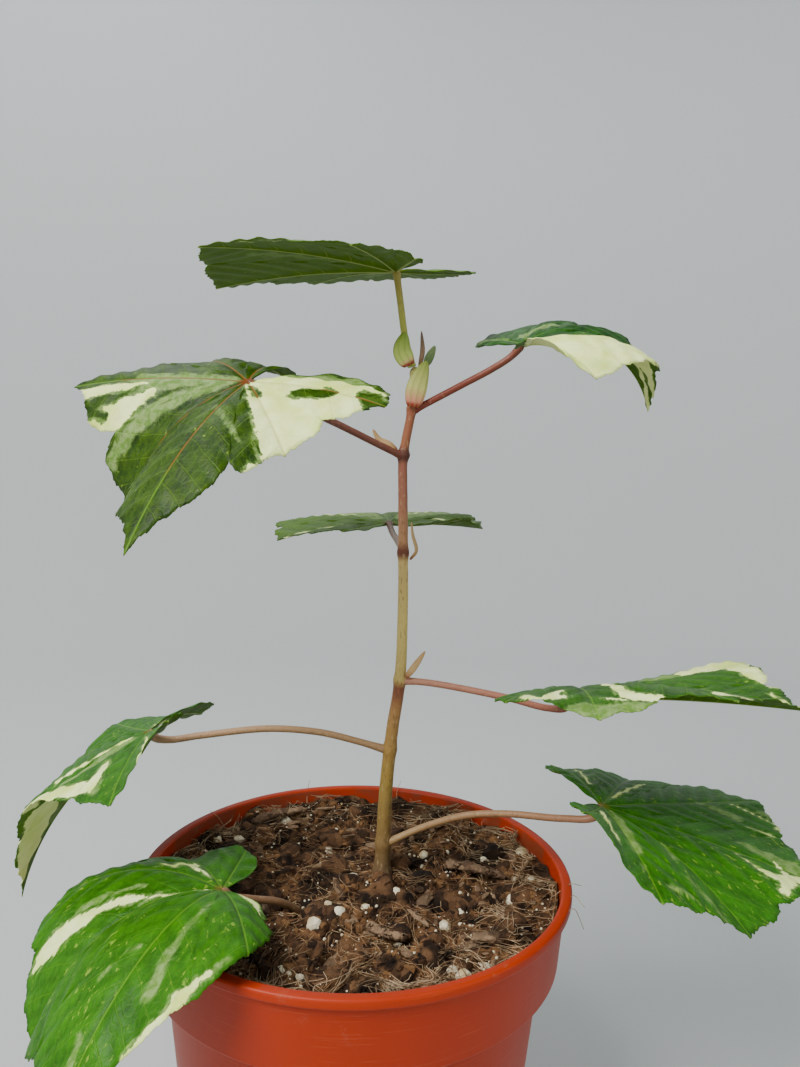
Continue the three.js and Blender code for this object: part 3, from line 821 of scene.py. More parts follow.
# %% [markdown]
# ### Bark and stalk skin
# The colour runs with the length: grey-brown and dusty at the foot, olive-yellow where the bark
# is still thin, then reddish brown on the young wood, with a dark ring at each node. Stalks keep
# two colours, one for each end. Both carry small pale and dark specks drawn out along them.

# %% Finishes of stem and stalks
def skin_finish(name, stops, rough=0.55, specks=0.4):
    made = Finish(name, Roughness=rough, Specular_IOR_Level=0.35)
    where = made.place()
    long = made.stretch(where, (1.0, 1.0, 0.4))
    base = made.ramp(made.attribute("along"), stops)
    dark = made.noise(long, 1500, 2).step(0.56, 0.68)
    pale = made.noise(long, 1100, 2, 0.6).step(0.6, 0.7)
    dull = made.noise(where, 260, 3)
    base = made.mix(dark * specks, base, colour(84, 56, 38))
    base = made.mix(pale * specks * 0.7, base, colour(206, 184, 138))
    made.set("Base Color", base)
    made.set("Roughness", rough - 0.08 + dull * 0.16)
    made.set("Normal", made.bump(made.noise(long, 2600, 3) + dark * 0.5, 0.0002, 0.5))
    return made.material


STEM_COLOURS = [
    (0.0, (84, 66, 46)), (0.07, (120, 94, 54)), (0.2, (142, 116, 50)), (0.33, (152, 112, 62)),
    (0.37, (120, 68, 42)), (0.38, (120, 68, 42)), (0.395, (172, 148, 84)), (0.5, (198, 174, 100)),
    (0.625, (194, 164, 100)), (0.638, (106, 56, 38)), (0.648, (106, 56, 38)),
    (0.665, (168, 122, 84)), (0.75, (144, 90, 68)), (0.815, (132, 78, 60)), (0.822, (82, 42, 30)),
    (0.838, (82, 42, 30)), (0.85, (142, 86, 56)), (0.92, (148, 86, 58)), (0.94, (160, 148, 92)),
    (1.0, (168, 158, 92))]
stem_finish = skin_finish("young_bark", STEM_COLOURS, 0.6, 0.4)


# %% Stem
def stem_thick(z):
    s = STEM
    t = (z - s["foot"]) / (s["top"] - s["foot"])
    taper = np.where(t < 0.45, s["foot_r"] + (s["mid_r"] - s["foot_r"]) * t / 0.45,
                     s["mid_r"] + (s["top_r"] - s["mid_r"]) * (t - 0.45) / 0.55)
    swell = sum(s["node_r"] * np.exp(-((z - node) / 1.6) ** 2) for node in s["nodes"])
    return taper + swell + s["flare"] * np.exp(-(z - s["foot"]) / 2.2)


axis = smooth_line(STEM["path"], 0.5)
axis = axis[(axis[:, 2] >= 97.5) & (axis[:, 2] <= STEM["top"] + 0.6)]
thick = stem_thick(np.maximum(axis[:, 2], STEM["foot"]))
thick += STEM["collar_r"] * np.exp(-((axis[:, 2] - STEM["nodes"][4]) / 1.2) ** 2)
thick[-4:] *= (0.96, 0.85, 0.65, 0.3)
stem = limb.make("bark_stem", chain("stem_line", axis, thick), Sides=28, Relief=0.07,
                 Grain=1100.0, Seed=4, Material=stem_finish)
stand_for(stem, "stem_bark", "stem")

# %% Stalks: colours at the stem and at the leaf
STALK_SKINS = [
    ((170, 176, 70), (142, 128, 56)), ((112, 62, 48), (104, 62, 48)),
    ((126, 52, 34), (112, 56, 38)), ((140, 118, 104), (92, 62, 46)),
    ((176, 124, 100), (146, 88, 70)), ((150, 118, 82), (150, 116, 84)),
    ((152, 122, 80), (142, 100, 72)), ((112, 84, 58), (126, 92, 64)),
]
for number, (one, (foot, tip)) in enumerate(zip(LEAVES, STALK_SKINS), 1):
    line = smooth_line(one["stalk"], 0.6)
    t = np.linspace(0, 1, len(line))
    swell = np.exp(-(t / 0.06) ** 2) + np.exp(-((1 - t) / 0.08) ** 2)
    thick = STALK["radius"] + STALK["swell"] * swell
    thick[-2:] *= (0.8, 0.45)
    finish = skin_finish(f"stalk_skin_{number}", [(0.0, foot), (0.85, tip), (1.0, tip)], 0.45, 0.22)
    piece = limb.make(f"leaf_stalk_{number}", chain(f"stalk_line_{number}", line, thick), Sides=16,
                      Relief=0.03, Grain=900.0, Seed=number, Material=finish)
    stand_for(piece, "leaf_stalk", f"stalk_{number}")

# %% [markdown]
# ## Leaves
# A blade is a fan round the end of its stalk. Seven main veins run out to seven lobe tips, the
# rim between them is cut back a little, and fine teeth point to the nearest tip. The fan is laid
# flat first: deg goes round, reach goes out. Then each direction is bent down by its own droop
# and the whole is turned to its heading. The veins are pressed in on top and stand out below.


# %% Rule of the blade
def smooth_between(deg, values):
    knots = np.array([-LEAF_END, *LOBES, LEAF_END])
    values = np.array([values[0], *values, values[-1]])
    k = np.clip(np.searchsorted(knots, deg, side="right") - 1, 0, len(knots) - 2)
    t = (deg - knots[k]) / (knots[k + 1] - knots[k])
    return values[k] + (values[k + 1] - values[k]) * t * t * (3 - 2 * t)


def rim_of(one, deg):
    """How far the rim lies from the stalk in each direction, in millimetres."""
    reach = one["reach"]
    k = np.clip(np.searchsorted(LOBES, deg, side="right") - 1, 0, len(LOBES) - 2)
    t = (deg - LOBES[k]) / (LOBES[k + 1] - LOBES[k])
    u = np.clip(1 - abs(2 * t - 1), 0, 1)
    cut = 0.45 * (1 - (1 - u) ** 6) + 0.55 * u ** 6
    inner = (reach[k] + (reach[k + 1] - reach[k]) * t) * (1 - BAYS[k] * one["bay"] * cut)
    end = np.clip((abs(deg) - LOBES[-1]) / (LEAF_END - LOBES[-1]), 0, 1)
    outer = np.where(deg < 0, reach[0], reach[-1]) * (NOTCH + (1 - NOTCH) * np.sqrt(1 - end * end))
    return np.where(abs(deg) > LOBES[-1], outer, inner) * one["size"]


def leaf_frame(one):
    heading, rise, roll = np.radians(one["turn"])
    level_part = math.cos(rise)
    ahead = np.array([math.cos(heading) * level_part, math.sin(heading) * level_part,
                      math.sin(rise)])
    level = np.array([-math.sin(heading), math.cos(heading), 0])
    left = level * math.cos(roll) + np.cross(ahead, level) * math.sin(roll)
    return ahead, left, np.cross(ahead, left)


def bent(one, deg, out_mm):
    """The place in space of a point that lies out_mm from the stalk on the flat blade."""
    ahead, left, up = leaf_frame(one)
    a = np.radians(deg * one["spread"])
    start = math.radians(one["fold"]) * abs(np.sin(a))
    length = smooth_between(deg, one["reach"]) * one["size"]
    bend = np.radians(smooth_between(deg, one["droop"])) / length
    bend = np.where(abs(bend) < 1e-6, 1e-6, bend)
    now = start - bend * out_mm
    out = (np.sin(start) - np.sin(now)) / bend
    high = (np.cos(now) - np.cos(start)) / bend
    return (one["at"] + ahead * (out * np.cos(a))[..., None] + left * (out * np.sin(a))[..., None]
            + up * high[..., None])


# %% Teeth and columns of the rim
RIM_STEP = 0.5                                             # mm between columns
TEETH = ((1.7, 0.45), (4.3, 0.4), (11.0, 0.35))            # spacing and height of each kind


def rim_columns(one, seed=1):
    """Directions at even steps along the rim, and how far each one's tooth stands out."""
    deg = np.linspace(-LEAF_END, LEAF_END, 6000)
    r = rim_of(one, deg)
    flat = np.column_stack([r * np.cos(np.radians(deg)), r * np.sin(np.radians(deg))])
    walked = np.concatenate([[0], np.cumsum(np.linalg.norm(np.diff(flat, axis=0), axis=1))])
    steps = np.linspace(0, walked[-1], round(walked[-1] / RIM_STEP) + 1)
    columns = np.interp(steps, walked, deg)
    nearest = LOBES[np.argmin(abs(columns[:, None] - LOBES[None]), axis=1)]
    tooth = np.zeros(len(columns))
    for pitch, height in TEETH:
        phase = steps / pitch
        index, part = np.floor(phase), phase - np.floor(phase)
        part = np.where(columns < nearest, part, 1 - part)
        # the fraction of a large sine is a random number that is the same on each run
        chance = np.modf(np.sin(index * 12.9898 + seed * 78.233) * 43758.5453)[0]
        tooth += height * (0.75 + 0.5 * abs(chance)) * (part ** 1.4 - 0.5)
    near_notch = np.clip((LEAF_END - abs(columns)) / 12, 0, 1)
    return columns, tooth * near_notch


print("leaf rim:", [len(rim_columns(one)[0]) for one in LEAVES], "columns")

# %% [markdown]
# ### Variegation
# The plant is a variegated one: cream and grey-green areas run out between the veins, each leaf
# with its own. They are painted as tapering strokes on the flat blade. A stroke has a start and an
# end, each as a direction in degrees and a distance in millimetres, and a half width at both. The
# places were picked, and many were turned into directions and distances by a small program.
# Each point of the mesh keeps how deep inside a stroke it lies, and the finish adds a ragged edge
# there. Later strokes lie over earlier ones, and a green one rubs both out.

# %% Strokes of each leaf: (tone, (degrees, mm), (degrees, mm), half width at start, at end)
STROKES = [
    [("grey", (30, 16), (34, 40), 0.6, 2), ("grey", (-60, 14), (-62, 38), 1, 3),
     ("cream", (58, 40), (50, 47), 0.2, 0.5)],
    [("grey", (-42, 4), (-39, 31), 1.5, 4), ("grey", (-24, 6), (-19, 30), 1.5, 2.5),
     ("grey", (-19, 30), (-15, 43), 2, 1.2), ("grey", (36, 14), (66, 29), 0.1, 0.3),
     ("cream", (-38, 29), (-38, 50), 0.8, 1.8), ("cream", (-31, 26), (-25, 44), 1.2, 4.2),
     ("green", (-35, 31), (-33, 43), 0.9, 1.8), ("green", (-31, 45), (-28, 41), 2, 1.4),
     ("cream", (97, 4), (93, 42), 2.2, 14), ("cream", (124, 5), (118, 33), 2.4, 8),
     ("cream", (71, 37), (67, 42), 1, 1.3), ("grey", (138, 8), (134, 30), 1, 2.4),
     ("green", (125, 34), (118, 42), 2.4, 4.5), ("green", (108, 19), (118, 25), 2, 3),
     ("green", (79, 4), (84, 11), 0.6, 1.3)],
    [("grey", (95, 8), (62, 20), 1.4, 2.6), ("grey", (118, 12), (128, 30), 0.4, 1.2),
     ("cream", (-78, 5), (-78, 40), 2.5, 23), ("cream", (-50, 16), (-42, 38), 2, 7),
     ("cream", (-105, 5), (-108, 30), 2, 10), ("cream", (-22, 33), (-3, 47), 4, 3.2),
     ("green", (-13, 36), (-4, 47), 0.8, 1.6), ("green", (-128, 12), (-134, 18), 1, 1.4)],
    [("grey", (20, 8), (20, 48), 2, 10), ("grey", (-30, 8), (-30, 45), 2, 10),
     ("cream", (30, 20), (32, 46), 0.6, 1.6), ("cream", (-25, 18), (-27, 42), 0.6, 1.4),
     ("cream", (86, 15), (88, 34), 0.6, 1.6), ("cream", (-70, 16), (-72, 30), 0.5, 1.4),
     ("green", (60, 22), (62, 38), 2, 4)],
    [("grey", (-88, 43), (-66, 51), 4, 5), ("grey", (50, 30), (46, 46), 2, 4),
     ("grey", (80, 10), (85, 44), 2, 5), ("cream", (-114, 33), (-105, 38), 0.9, 1.3),
     ("cream", (-104, 38), (-95, 35), 1, 1.5), ("cream", (-99, 35), (-96, 30), 0.5, 0.8),
     ("cream", (-64, 21), (-69, 38), 0.8, 1.7), ("cream", (-69, 39), (-63, 45), 1.5, 1.3),
     ("cream", (-77, 38), (-72, 40), 0.8, 1), ("cream", (45, 44), (44, 68), 2.6, 9),
     ("cream", (40, 60), (20, 60), 4, 2.6), ("green", (34, 38), (24, 52), 2.2, 3),
     ("green", (22, 52), (17, 56), 2.6, 1.6), ("cream", (14, 37), (6, 47), 1.4, 2.8),
     ("cream", (-40, 47), (-36, 53), 1.8, 2.2), ("cream", (14, 56), (0, 60), 0.8, 1)],
    [("grey", (15, 8), (12, 22), 4, 14), ("grey", (66, 25), (72, 32), 0.5, 1),
     ("cream", (-19, 6), (-28, 20), 0.6, 0.8), ("cream", (-28, 20), (-36, 37), 0.8, 1),
     ("cream", (61, 18), (66, 27), 0.3, 1.8), ("cream", (66, 30), (50, 33), 2.8, 2.8),
     ("cream", (50, 34), (38, 36), 3, 3), ("cream", (22, 34), (10, 42), 6, 5),
     ("cream", (10, 42), (7, 52), 4.5, 1.6), ("cream", (106, 10), (103, 30), 0.4, 0.8),
     ("cream", (103, 30), (100, 35), 0.8, 0.8), ("cream", (-119, 5), (-126, 15), 0.4, 0.6),
     ("green", (-44, 31), (-50, 42), 3, 4)],
    [("grey", (43, 37), (31, 46), 0.7, 1.6), ("grey", (36, 58), (34, 62), 1, 1.5),
     ("grey", (9, 39), (3, 52), 1.2, 3), ("grey", (-60, 4), (-82, 24), 0.8, 1.7),
     ("grey", (-42, 19), (-50, 25), 0.4, 0.9), ("grey", (-75, 36), (-65, 38), 0.7, 0.7),
     ("grey", (-57, 32), (-54, 46), 0.7, 0.9), ("grey", (-84, 30), (-84, 32), 0.6, 0.6),
     ("cream", (41, 50), (31, 60), 0.3, 0.6), ("cream", (25, 46), (22, 54), 0.2, 0.6),
     ("cream", (28, 59), (26, 60), 1.2, 1.2), ("cream", (-3, 36), (-11, 44), 0.3, 0.6),
     ("cream", (-11, 43), (-8, 49), 0.7, 2.2), ("cream", (-8, 49), (-16, 48), 1.8, 1),
     ("cream", (4, 47), (-6, 50), 0.4, 1.5), ("cream", (-6, 50), (0, 56), 1.4, 0.7),
     ("cream", (-110, 9), (-97, 24), 0.5, 0.4), ("cream", (113, 34), (117, 14), 0.5, 0.3),
     ("cream", (74, 7), (72, 34), 0.4, 0.6)],
    [("grey", (-20, 19), (-22, 36), 0.3, 1), ("grey", (62, 13), (54, 29), 0.1, 0.7),
     ("grey", (54, 29), (54, 41), 0.7, 1.4), ("grey", (76, 36), (70, 39), 0.5, 0.9),
     ("grey", (39, 50), (41, 58), 0.6, 1.2), ("grey", (38, 31), (36, 32), 0.5, 0.5),
     ("grey", (34, 36), (33, 39), 0.5, 0.4), ("cream", (30, 5), (-6, 19), 0.1, 0.4),
     ("cream", (-6, 19), (-13, 25), 0.5, 1.2), ("cream", (-13, 25), (-15, 32), 1.2, 1.1),
     ("cream", (-15, 33), (-17, 43), 1.8, 3.2), ("cream", (-17, 43), (-17, 49), 3, 1.8),
     ("cream", (71, 38), (64, 42), 0.8, 1.5), ("cream", (64, 44), (55, 53), 1.3, 0.9),
     ("cream", (140, 5), (133, 10), 0.3, 0.8), ("cream", (133, 10), (116, 17), 0.8, 0.5),
     ("cream", (-74, 13), (-54, 16), 0.8, 0.9), ("cream", (-54, 16), (-49, 20), 0.6, 0.2),
     ("cream", (-62, 15), (-70, 6), 0.4, 0.2)],
]
# Looks of each leaf, from 0 to 1: flecks, brightness, olive, red midrib, ripple
LOOKS = [
    (0.1, 0.85, 0.7, 0.1, 0.3), (0.1, 0.22, 0.75, 1, 0.5), (0.1, 0.15, 0, 0.1, 0.5),
    (0.3, 0.65, 0.7, 0.2, 0.3), (0.5, 0.4, 0.25, 0.1, 0.7), (0.6, 0.45, 0.1, 0, 0.5),
    (0.8, 0.6, 0, 0, 0.6), (0.7, 0.6, 0.1, 0.1, 0.7),
]
print([len(strokes) for strokes in STROKES], "strokes")


# %% How deep a point lies inside the strokes
FAR_OUT = 9.0                                              # depths are cut off at this many mm


def tone_depths(strokes, x, y):
    depth = {tone: np.full(x.shape, -FAR_OUT) for tone in ("cream", "grey")}
    for tone, (deg0, mm0), (deg1, mm1), wide0, wide1 in strokes:
        a0, a1 = math.radians(deg0), math.radians(deg1)
        x0, y0 = mm0 * math.cos(a0), mm0 * math.sin(a0)
        run, rise = mm1 * math.cos(a1) - x0, mm1 * math.sin(a1) - y0
        t = np.clip(((x - x0) * run + (y - y0) * rise) / (run ** 2 + rise ** 2), 0, 1)
        aside = np.hypot(x - x0 - run * t, y - y0 - rise * t)
        inside = wide0 + (wide1 - wide0) * t - aside
        if tone == "green":
            depth = {name: np.minimum(value, -inside) for name, value in depth.items()}
        else:
            depth[tone] = np.maximum(depth[tone], inside)
    return {name: np.clip(value, -FAR_OUT, FAR_OUT) for name, value in depth.items()}


# %% [markdown]
# ### The blade's mesh
# Rows run out from the stalk and columns run along the rim, once for the top and once for the
# underside, joined round the edge. The tissue bulges a little between the side veins, the rim
# ripples, and the underside carries a rib under each main vein.

# %% Veins in numbers: distance between side veins, their forward slope, and the relief in mm
SIDE_STEP, SIDE_SLOPE = 7.0, 0.8
RELIEF = dict(bulge=0.5, groove=0.28, rib=0.5, skin=0.2)


def vein_grid(deg, r):
    """Place along the nearest main vein, distance across it, and phase between its side veins."""
    main = LOBES[np.argmin(abs(deg[..., None] - LOBES), axis=-1)]
    apart = np.radians(deg - main)
    along, across = r * np.cos(apart), r * np.sin(apart)
    phase = (along - abs(across) * SIDE_SLOPE) / SIDE_STEP + 0.5 * (across > 0)
    return along, across, phase - np.floor(phase)


# %% Mesh of one blade
def blade_mesh(one, number, rows=27):
    columns, tooth = rim_columns(one, seed=number)
    s = (np.arange(1, rows + 1) / rows) ** 0.92
    deg = np.repeat(columns[:, None], rows, axis=1)
    r = rim_of(one, columns)[:, None] * s + tooth[:, None] * s ** 9
    middle = bent(one, deg, r)
    ahead, left, up = leaf_frame(one)
    across = np.gradient(middle, axis=0)
    out = np.gradient(middle, axis=1)
    normal = np.cross(out, across)
    normal /= np.linalg.norm(normal, axis=-1, keepdims=True) + 1e-9
    share = np.clip(r / 7, 0, 1)
    share = (share * share * (3 - 2 * share))[..., None]
    normal = up * (1 - share) + normal * share
    normal /= np.linalg.norm(normal, axis=-1, keepdims=True)
    along, aside, phase = vein_grid(deg, r)
    away = np.clip(r / 10, 0, 1)
    toward_tip = along / one["size"]
    bulge = RELIEF["bulge"] * np.sin(np.pi * phase) ** 2 * np.clip(abs(aside) / 2.5, 0, 1) * away
    groove = RELIEF["groove"] * np.exp(-(aside / 0.8) ** 2) * np.clip(1.2 - toward_tip, 0.15, 1)
    walked = np.arange(len(columns)) * RIM_STEP
    ripple = 0.55 * np.sin(walked / 3.1 + number * 2.1) + 0.4 * np.sin(walked / 5.3 + number)
    ripple = ripple[:, None] * s ** 4
    ripple = ripple * LOOKS[number - 1][4]
    lift = bulge - groove + ripple
    half = (RELIEF["skin"] - 0.1 * s) * np.ones_like(r)
    rib = RELIEF["rib"] * np.exp(-(aside / 0.55) ** 2) * np.clip(1.1 - toward_tip, 0.05, 1)
    top = middle + normal * (lift + half)[..., None]
    under = middle + normal * (lift - half - rib)[..., None]
    count = len(columns) * rows
    points = np.vstack([one["at"] + up * 0.1, one["at"] - up * 0.35, top.reshape(-1, 3),
                        under.reshape(-1, 3)])

    def index(i, j, side):
        return side if j < 0 else 2 + side * count + i * rows + j

    faces, is_edge = [], []
    last = len(columns) - 1
    for i in range(last):
        for j in range(-1, rows - 1):
            for side in (0, 1):
                ring = [index(i, j, side), index(i, j + 1, side), index(i + 1, j + 1, side)]
                if j >= 0:
                    ring.append(index(i + 1, j, side))
                faces.append(ring if side == 0 else ring[::-1])
                is_edge.append(False)
        faces.append([index(i, rows - 1, 0), index(i, rows - 1, 1),
                      index(i + 1, rows - 1, 1), index(i + 1, rows - 1, 0)])
        is_edge.append(True)
    for j in range(-1, rows - 1):
        faces.append([index(0, j, 0), index(0, j, 1), index(0, j + 1, 1), index(0, j + 1, 0)])
        faces.append([index(last, j, 1), index(last, j, 0),
                      index(last, j + 1, 0), index(last, j + 1, 1)])
        is_edge += [True, True]
    x, y = r * np.cos(np.radians(deg)), r * np.sin(np.radians(deg))
    flat = np.zeros((len(points), 3))
    for side in (0, 1):
        part = slice(2 + side * count, 2 + (side + 1) * count)
        flat[part, 0], flat[part, 1], flat[part, 2] = x.ravel(), y.ravel(), side
    flat[1, 2] = 1
    return points * MM, faces, is_edge, flat


def blade_object(one, number):
    points, faces, is_edge, flat = blade_mesh(one, number)
    mesh = bpy.data.meshes.new(f"blade_{number}")
    mesh.from_pydata([tuple(p) for p in points], [], faces)
    mesh.shade_smooth()
    depth = tone_depths(STROKES[number - 1], flat[:, 0], flat[:, 1])
    keep_values(mesh, "flat", flat)
    constants = dict(zip(("flecks", "bright", "olive", "red"), LOOKS[number - 1]), which=number)
    for name, value in {**depth, **constants}.items():
        keep_values(mesh, name, np.broadcast_to(value, len(points)))
    bake_map = mesh.uv_layers.new(name="OFBake")
    corner = np.zeros(len(mesh.loops), np.int32)
    mesh.loops.foreach_get("vertex_index", corner)
    sizes = np.array([len(face) for face in faces])
    side = np.where(np.repeat(is_edge, sizes), 0, flat[corner, 2])
    uv = np.column_stack([(flat[corner, 0] / 150 + 0.5) / 2 + side * 0.5,
                          flat[corner, 1] / 150 + 0.5])
    bake_map.data.foreach_set("uv", uv.astype(np.float32).ravel())
    mesh.update()
    return new_object(f"leaf_blade_{number}", mesh)


# %% [markdown]
# ### The leaf's finish
# Everything is worked out on the flat blade: the direction and distance of a point give the
# nearest main vein, the side veins lie at even steps along it, and a fine net fills the rest.
# The green is built first, then the grey-green and cream areas, then flecks, then the veins over
# all of it, reddish close to the stalk. The underside is paler and duller.

# %% Finish of the leaves
def leaf_finish():
    made = Finish("variegated_leaf", Roughness=0.45, Specular_IOR_Level=0.14)
    x, y, under = made.split(made.attribute("flat", out="Vector"))
    flat = made.join(x, y, made.attribute("which") * 37.0)
    r = (x * x + y * y).maths("SQRT")
    deg = y.maths("ARCTAN2", x) * (180 / math.pi)
    main = deg * 0.0 + float(LOBES[0])
    for before, after in zip(LOBES, LOBES[1:]):
        main = main + (deg > float(before + after) / 2) * float(after - before)
    apart = (deg - main) * (math.pi / 180)
    along, aside = r * apart.maths("COSINE"), r * apart.maths("SINE")
    across = abs(aside)
    waver = (made.noise(flat, 0.16, 2) - 0.5) * 1.4
    main_vein = 1 - across.step(0.14, 0.38)
    phase = (along - across * SIDE_SLOPE + waver) / SIDE_STEP + (aside > 0) * 0.5
    part = abs(phase.maths("FRACT") - 0.5) * SIDE_STEP * 0.78
    side_vein = (1 - part.step(0.05, 0.24)) * along.step(5, 12) * across.step(0.1, 0.5)
    net = 1 - made.cells(flat, 0.5, "DISTANCE_TO_EDGE").step(0.02, 0.14)
    fine_net = 1 - made.cells(flat, 1.5, "DISTANCE_TO_EDGE").step(0.02, 0.2)

    streak = made.join(along * 0.2, aside * 0.75, made.attribute("which") * 7.0)
    marble = made.noise(streak, 1.0, 3, 0.6)
    tone = (made.noise(flat, 0.1, 3, 0.55) - 0.5) * 0.9 + (marble - 0.5) * 1.0
    tone = tone + (made.noise(flat, 0.7, 4, 0.65) - 0.5) * 0.3
    shade = (made.attribute("bright") + tone).clamp()
    green = made.mix(shade, colour(6, 50, 0), colour(52, 122, 0))
    olive = made.mix(shade, colour(26, 42, 0), colour(82, 104, 2))
    green = made.mix(made.attribute("olive"), green, olive)
    green = made.mix((part.step(1.0, 2.6) * 0.25).clamp(), green, colour(12, 50, 1))

    ragged = (marble - 0.5) * 2.6 + (made.noise(flat, 0.75, 4, 0.65) - 0.5) * 1.8
    cream_at = (made.attribute("cream") + ragged * 0.9).step(-0.15, 0.12)
    fringe = (made.attribute("cream") + ragged * 1.7).step(-1.1, -0.2)
    grey_at = (made.attribute("grey") + ragged * 1.1).step(-0.9, 0.7).maths("MAXIMUM", fringe * 0.8)
    mottle = made.noise(flat, 0.42, 4, 0.7).step(0.42, 0.6)
    grey = made.mix(mottle * 0.7, colour(138, 162, 96), colour(78, 122, 24))
    clouds = made.noise(flat, 0.12, 3).step(0.3, 0.7)
    cream = made.mix(clouds, colour(204, 222, 110), colour(236, 246, 172))
    cream = made.mix(net * 0.05, cream, colour(196, 206, 126))
    drawn = made.join(along * 0.4, aside * 0.75, made.attribute("which") * 3.0)
    dash = made.noise(drawn, 1.0, 4, 0.6) + made.noise(flat, 0.09, 2) * 0.35
    fleck = (dash + made.attribute("flecks") * 0.08).step(0.85, 0.93)
    base = made.mix(grey_at * 0.75, green, grey)
    base = made.mix(fleck * 0.5, base, colour(150, 182, 60))
    base = made.mix(cream_at, base, cream)

    pale = made.mix(cream_at, colour(108, 156, 34), colour(204, 212, 136))
    base = made.mix(net * 0.05, base, pale)
    base = made.mix(side_vein * 0.14, base, pale)
    base = made.mix(main_vein * 0.42, base, pale)
    red = made.attribute("red")
    flushed = (1 - (r - red * 34.0).step(1.5, 8.0)) * main_vein * 0.75 * red
    flushed = flushed + (1 - r.step(1.0, 3.0)) * 0.45
    base = made.mix(flushed.clamp() * (1 - cream_at * 0.85), base, colour(116, 58, 22))
    back = made.mix(cream_at, colour(72, 96, 16), colour(196, 198, 128))
    back = made.mix(0.6, base, back)
    back = made.mix(main_vein * 0.7 + side_vein * 0.2, back, colour(156, 166, 96))
    base = made.mix(under, base, back)
    made.set("Base Color", base)
    made.set("Roughness", 0.36 + made.noise(flat, 0.3, 3) * 0.16 + under * 0.18)
    height = 0.0 - main_vein * 1.2 - side_vein * 0.8 - net * 0.35 - fine_net * 0.12
    height = height + made.noise(flat, 1.6, 3) * 0.2
    made.set("Normal", made.bump(height * (1 - under * 2), 0.0002, 0.5))
    return made.material


leaf_green = leaf_finish()
for number, one in enumerate(LEAVES, 1):
    blade = blade_object(one, number)
    blade.data.materials.append(leaf_green)
    stand_for(blade, "leaf_blade", f"leaf_{number}")
    print(blade.name, len(blade.data.polygons), "faces")

# %% [markdown]
# ## Scales
# Young leaf scales sheathe the growing tip like small pods, green with fine lines and a pink
# foot. At three nodes older ones have dried to straw. Each is a pod: a flattened section that
# follows a line, widest below its middle, with shallow grooves along it.

# %% Scales by name: width, thickness, the way the flat side looks, and the line
SCALES = {
    "tip_scale_left": (5.6, 2.2, (0.2, -1, 0.1),
                       [(11.6, 7, 246.6), (9.6, 6.9, 250.6), (10.2, 7.4, 255.8)]),
    "tip_scale_brown": (1.5, 0.8, (-0.3, -1, 0),
                        [(14.6, 9.2, 246.7), (15.3, 9.4, 251), (14.9, 9.6, 256.7)]),
    "tip_leaflet": (2.6, 0.7, (0.3, -1, 0.2), [(16.4, 8, 247), (17.3, 8, 249.2), (18.8, 8, 252.4)]),
    "sheath_scale": (6.0, 1.8, (0.1, -1, 0),
                     [(12.9, 6.4, 235), (13.9, 6.2, 240.6), (16.4, 7, 247.9)]),
    "dry_scale_upper": (2.2, 0.8, (0.3, -1, 0.5), [(8.6, 6.9, 222.8), (6.3, 5.9, 224.4),
                                                   (3.6, 5.4, 225.6), (1.8, 5.4, 228.4)]),
    "dry_scale_middle": (1.6, 0.7, (0.9, -0.6, 0), [(13.2, 8, 191.6), (14.9, 7.8, 194.2),
                                                    (13.8, 7.6, 198.6), (13.3, 7.6, 202.4)]),
    "dry_scale_lower": (2.0, 0.7, (0, -1, 0.3),
                        [(12.7, 6.2, 157.6), (14.9, 5.8, 160.6), (18.1, 5.8, 165.5)]),
}


def pod(name, line, width, thick, face, grooves=7, sides=36):
    """A closed, flattened and grooved shape along a line of points."""
    centre = smooth_line(line, 0.22)
    t = np.linspace(0, 1, len(centre))
    wide = 0.16 + 0.84 * np.sin(np.pi * np.minimum(1, 0.12 + 0.86 * t ** 0.8)) ** 0.8
    wide = wide * np.clip((1.03 - t) / 0.1, 0.05, 1) ** 0.5
    along = np.gradient(centre, axis=0)
    side = np.cross(along, np.array(face, float))
    side /= np.linalg.norm(side, axis=1, keepdims=True)
    over = np.cross(along, side)
    over /= np.linalg.norm(over, axis=1, keepdims=True)
    turn = 2 * np.pi * np.arange(sides) / sides
    groove = 1 - 0.05 * (0.5 + 0.5 * np.cos(turn * grooves * 2))
    flat = 0.5 * width * wide[:, None] * np.cos(turn) * groove
    deep = 0.5 * thick * (0.3 + 0.7 * wide[:, None]) * np.sin(turn) * groove
    points = centre[:, None] + side[:, None] * flat[..., None] + over[:, None] * deep[..., None]
    rings = len(centre)
    faces = tube_faces(rings, sides)
    faces += [tuple(range(sides))[::-1], tuple(range((rings - 1) * sides, rings * sides))]
    mesh = mesh_from(name, points.reshape(-1, 3) * MM, faces)
    mesh.shade_smooth()
    keep_values(mesh, "along", np.repeat(t, sides))
    keep_values(mesh, "round", np.tile(turn / (2 * np.pi), rings))
    return new_object(name, mesh)


# %% Finish of the scales
def scale_finish(name, foot, low, high, tip, line, pink=0.3):
    made = Finish(name, Roughness=0.55, Specular_IOR_Level=0.35)
    where, t = made.place(), made.attribute("along")
    base = made.ramp(t, [(0.0, foot), (0.05, foot), (0.12, low), (pink, high), (1.0, tip)])
    waver = made.noise(where, 700, 2) * 3.0
    stripe = (made.attribute("round") * (2 * math.pi * 9) + waver).maths("SINE")
    base = made.mix(stripe.step(0.2, 1.0) * 0.4, base, colour(*line))
    made.set("Base Color", base)
    made.set("Normal", made.bump(stripe * 0.5 + made.noise(where, 3000, 3), 0.00012, 0.6))
    return made.material


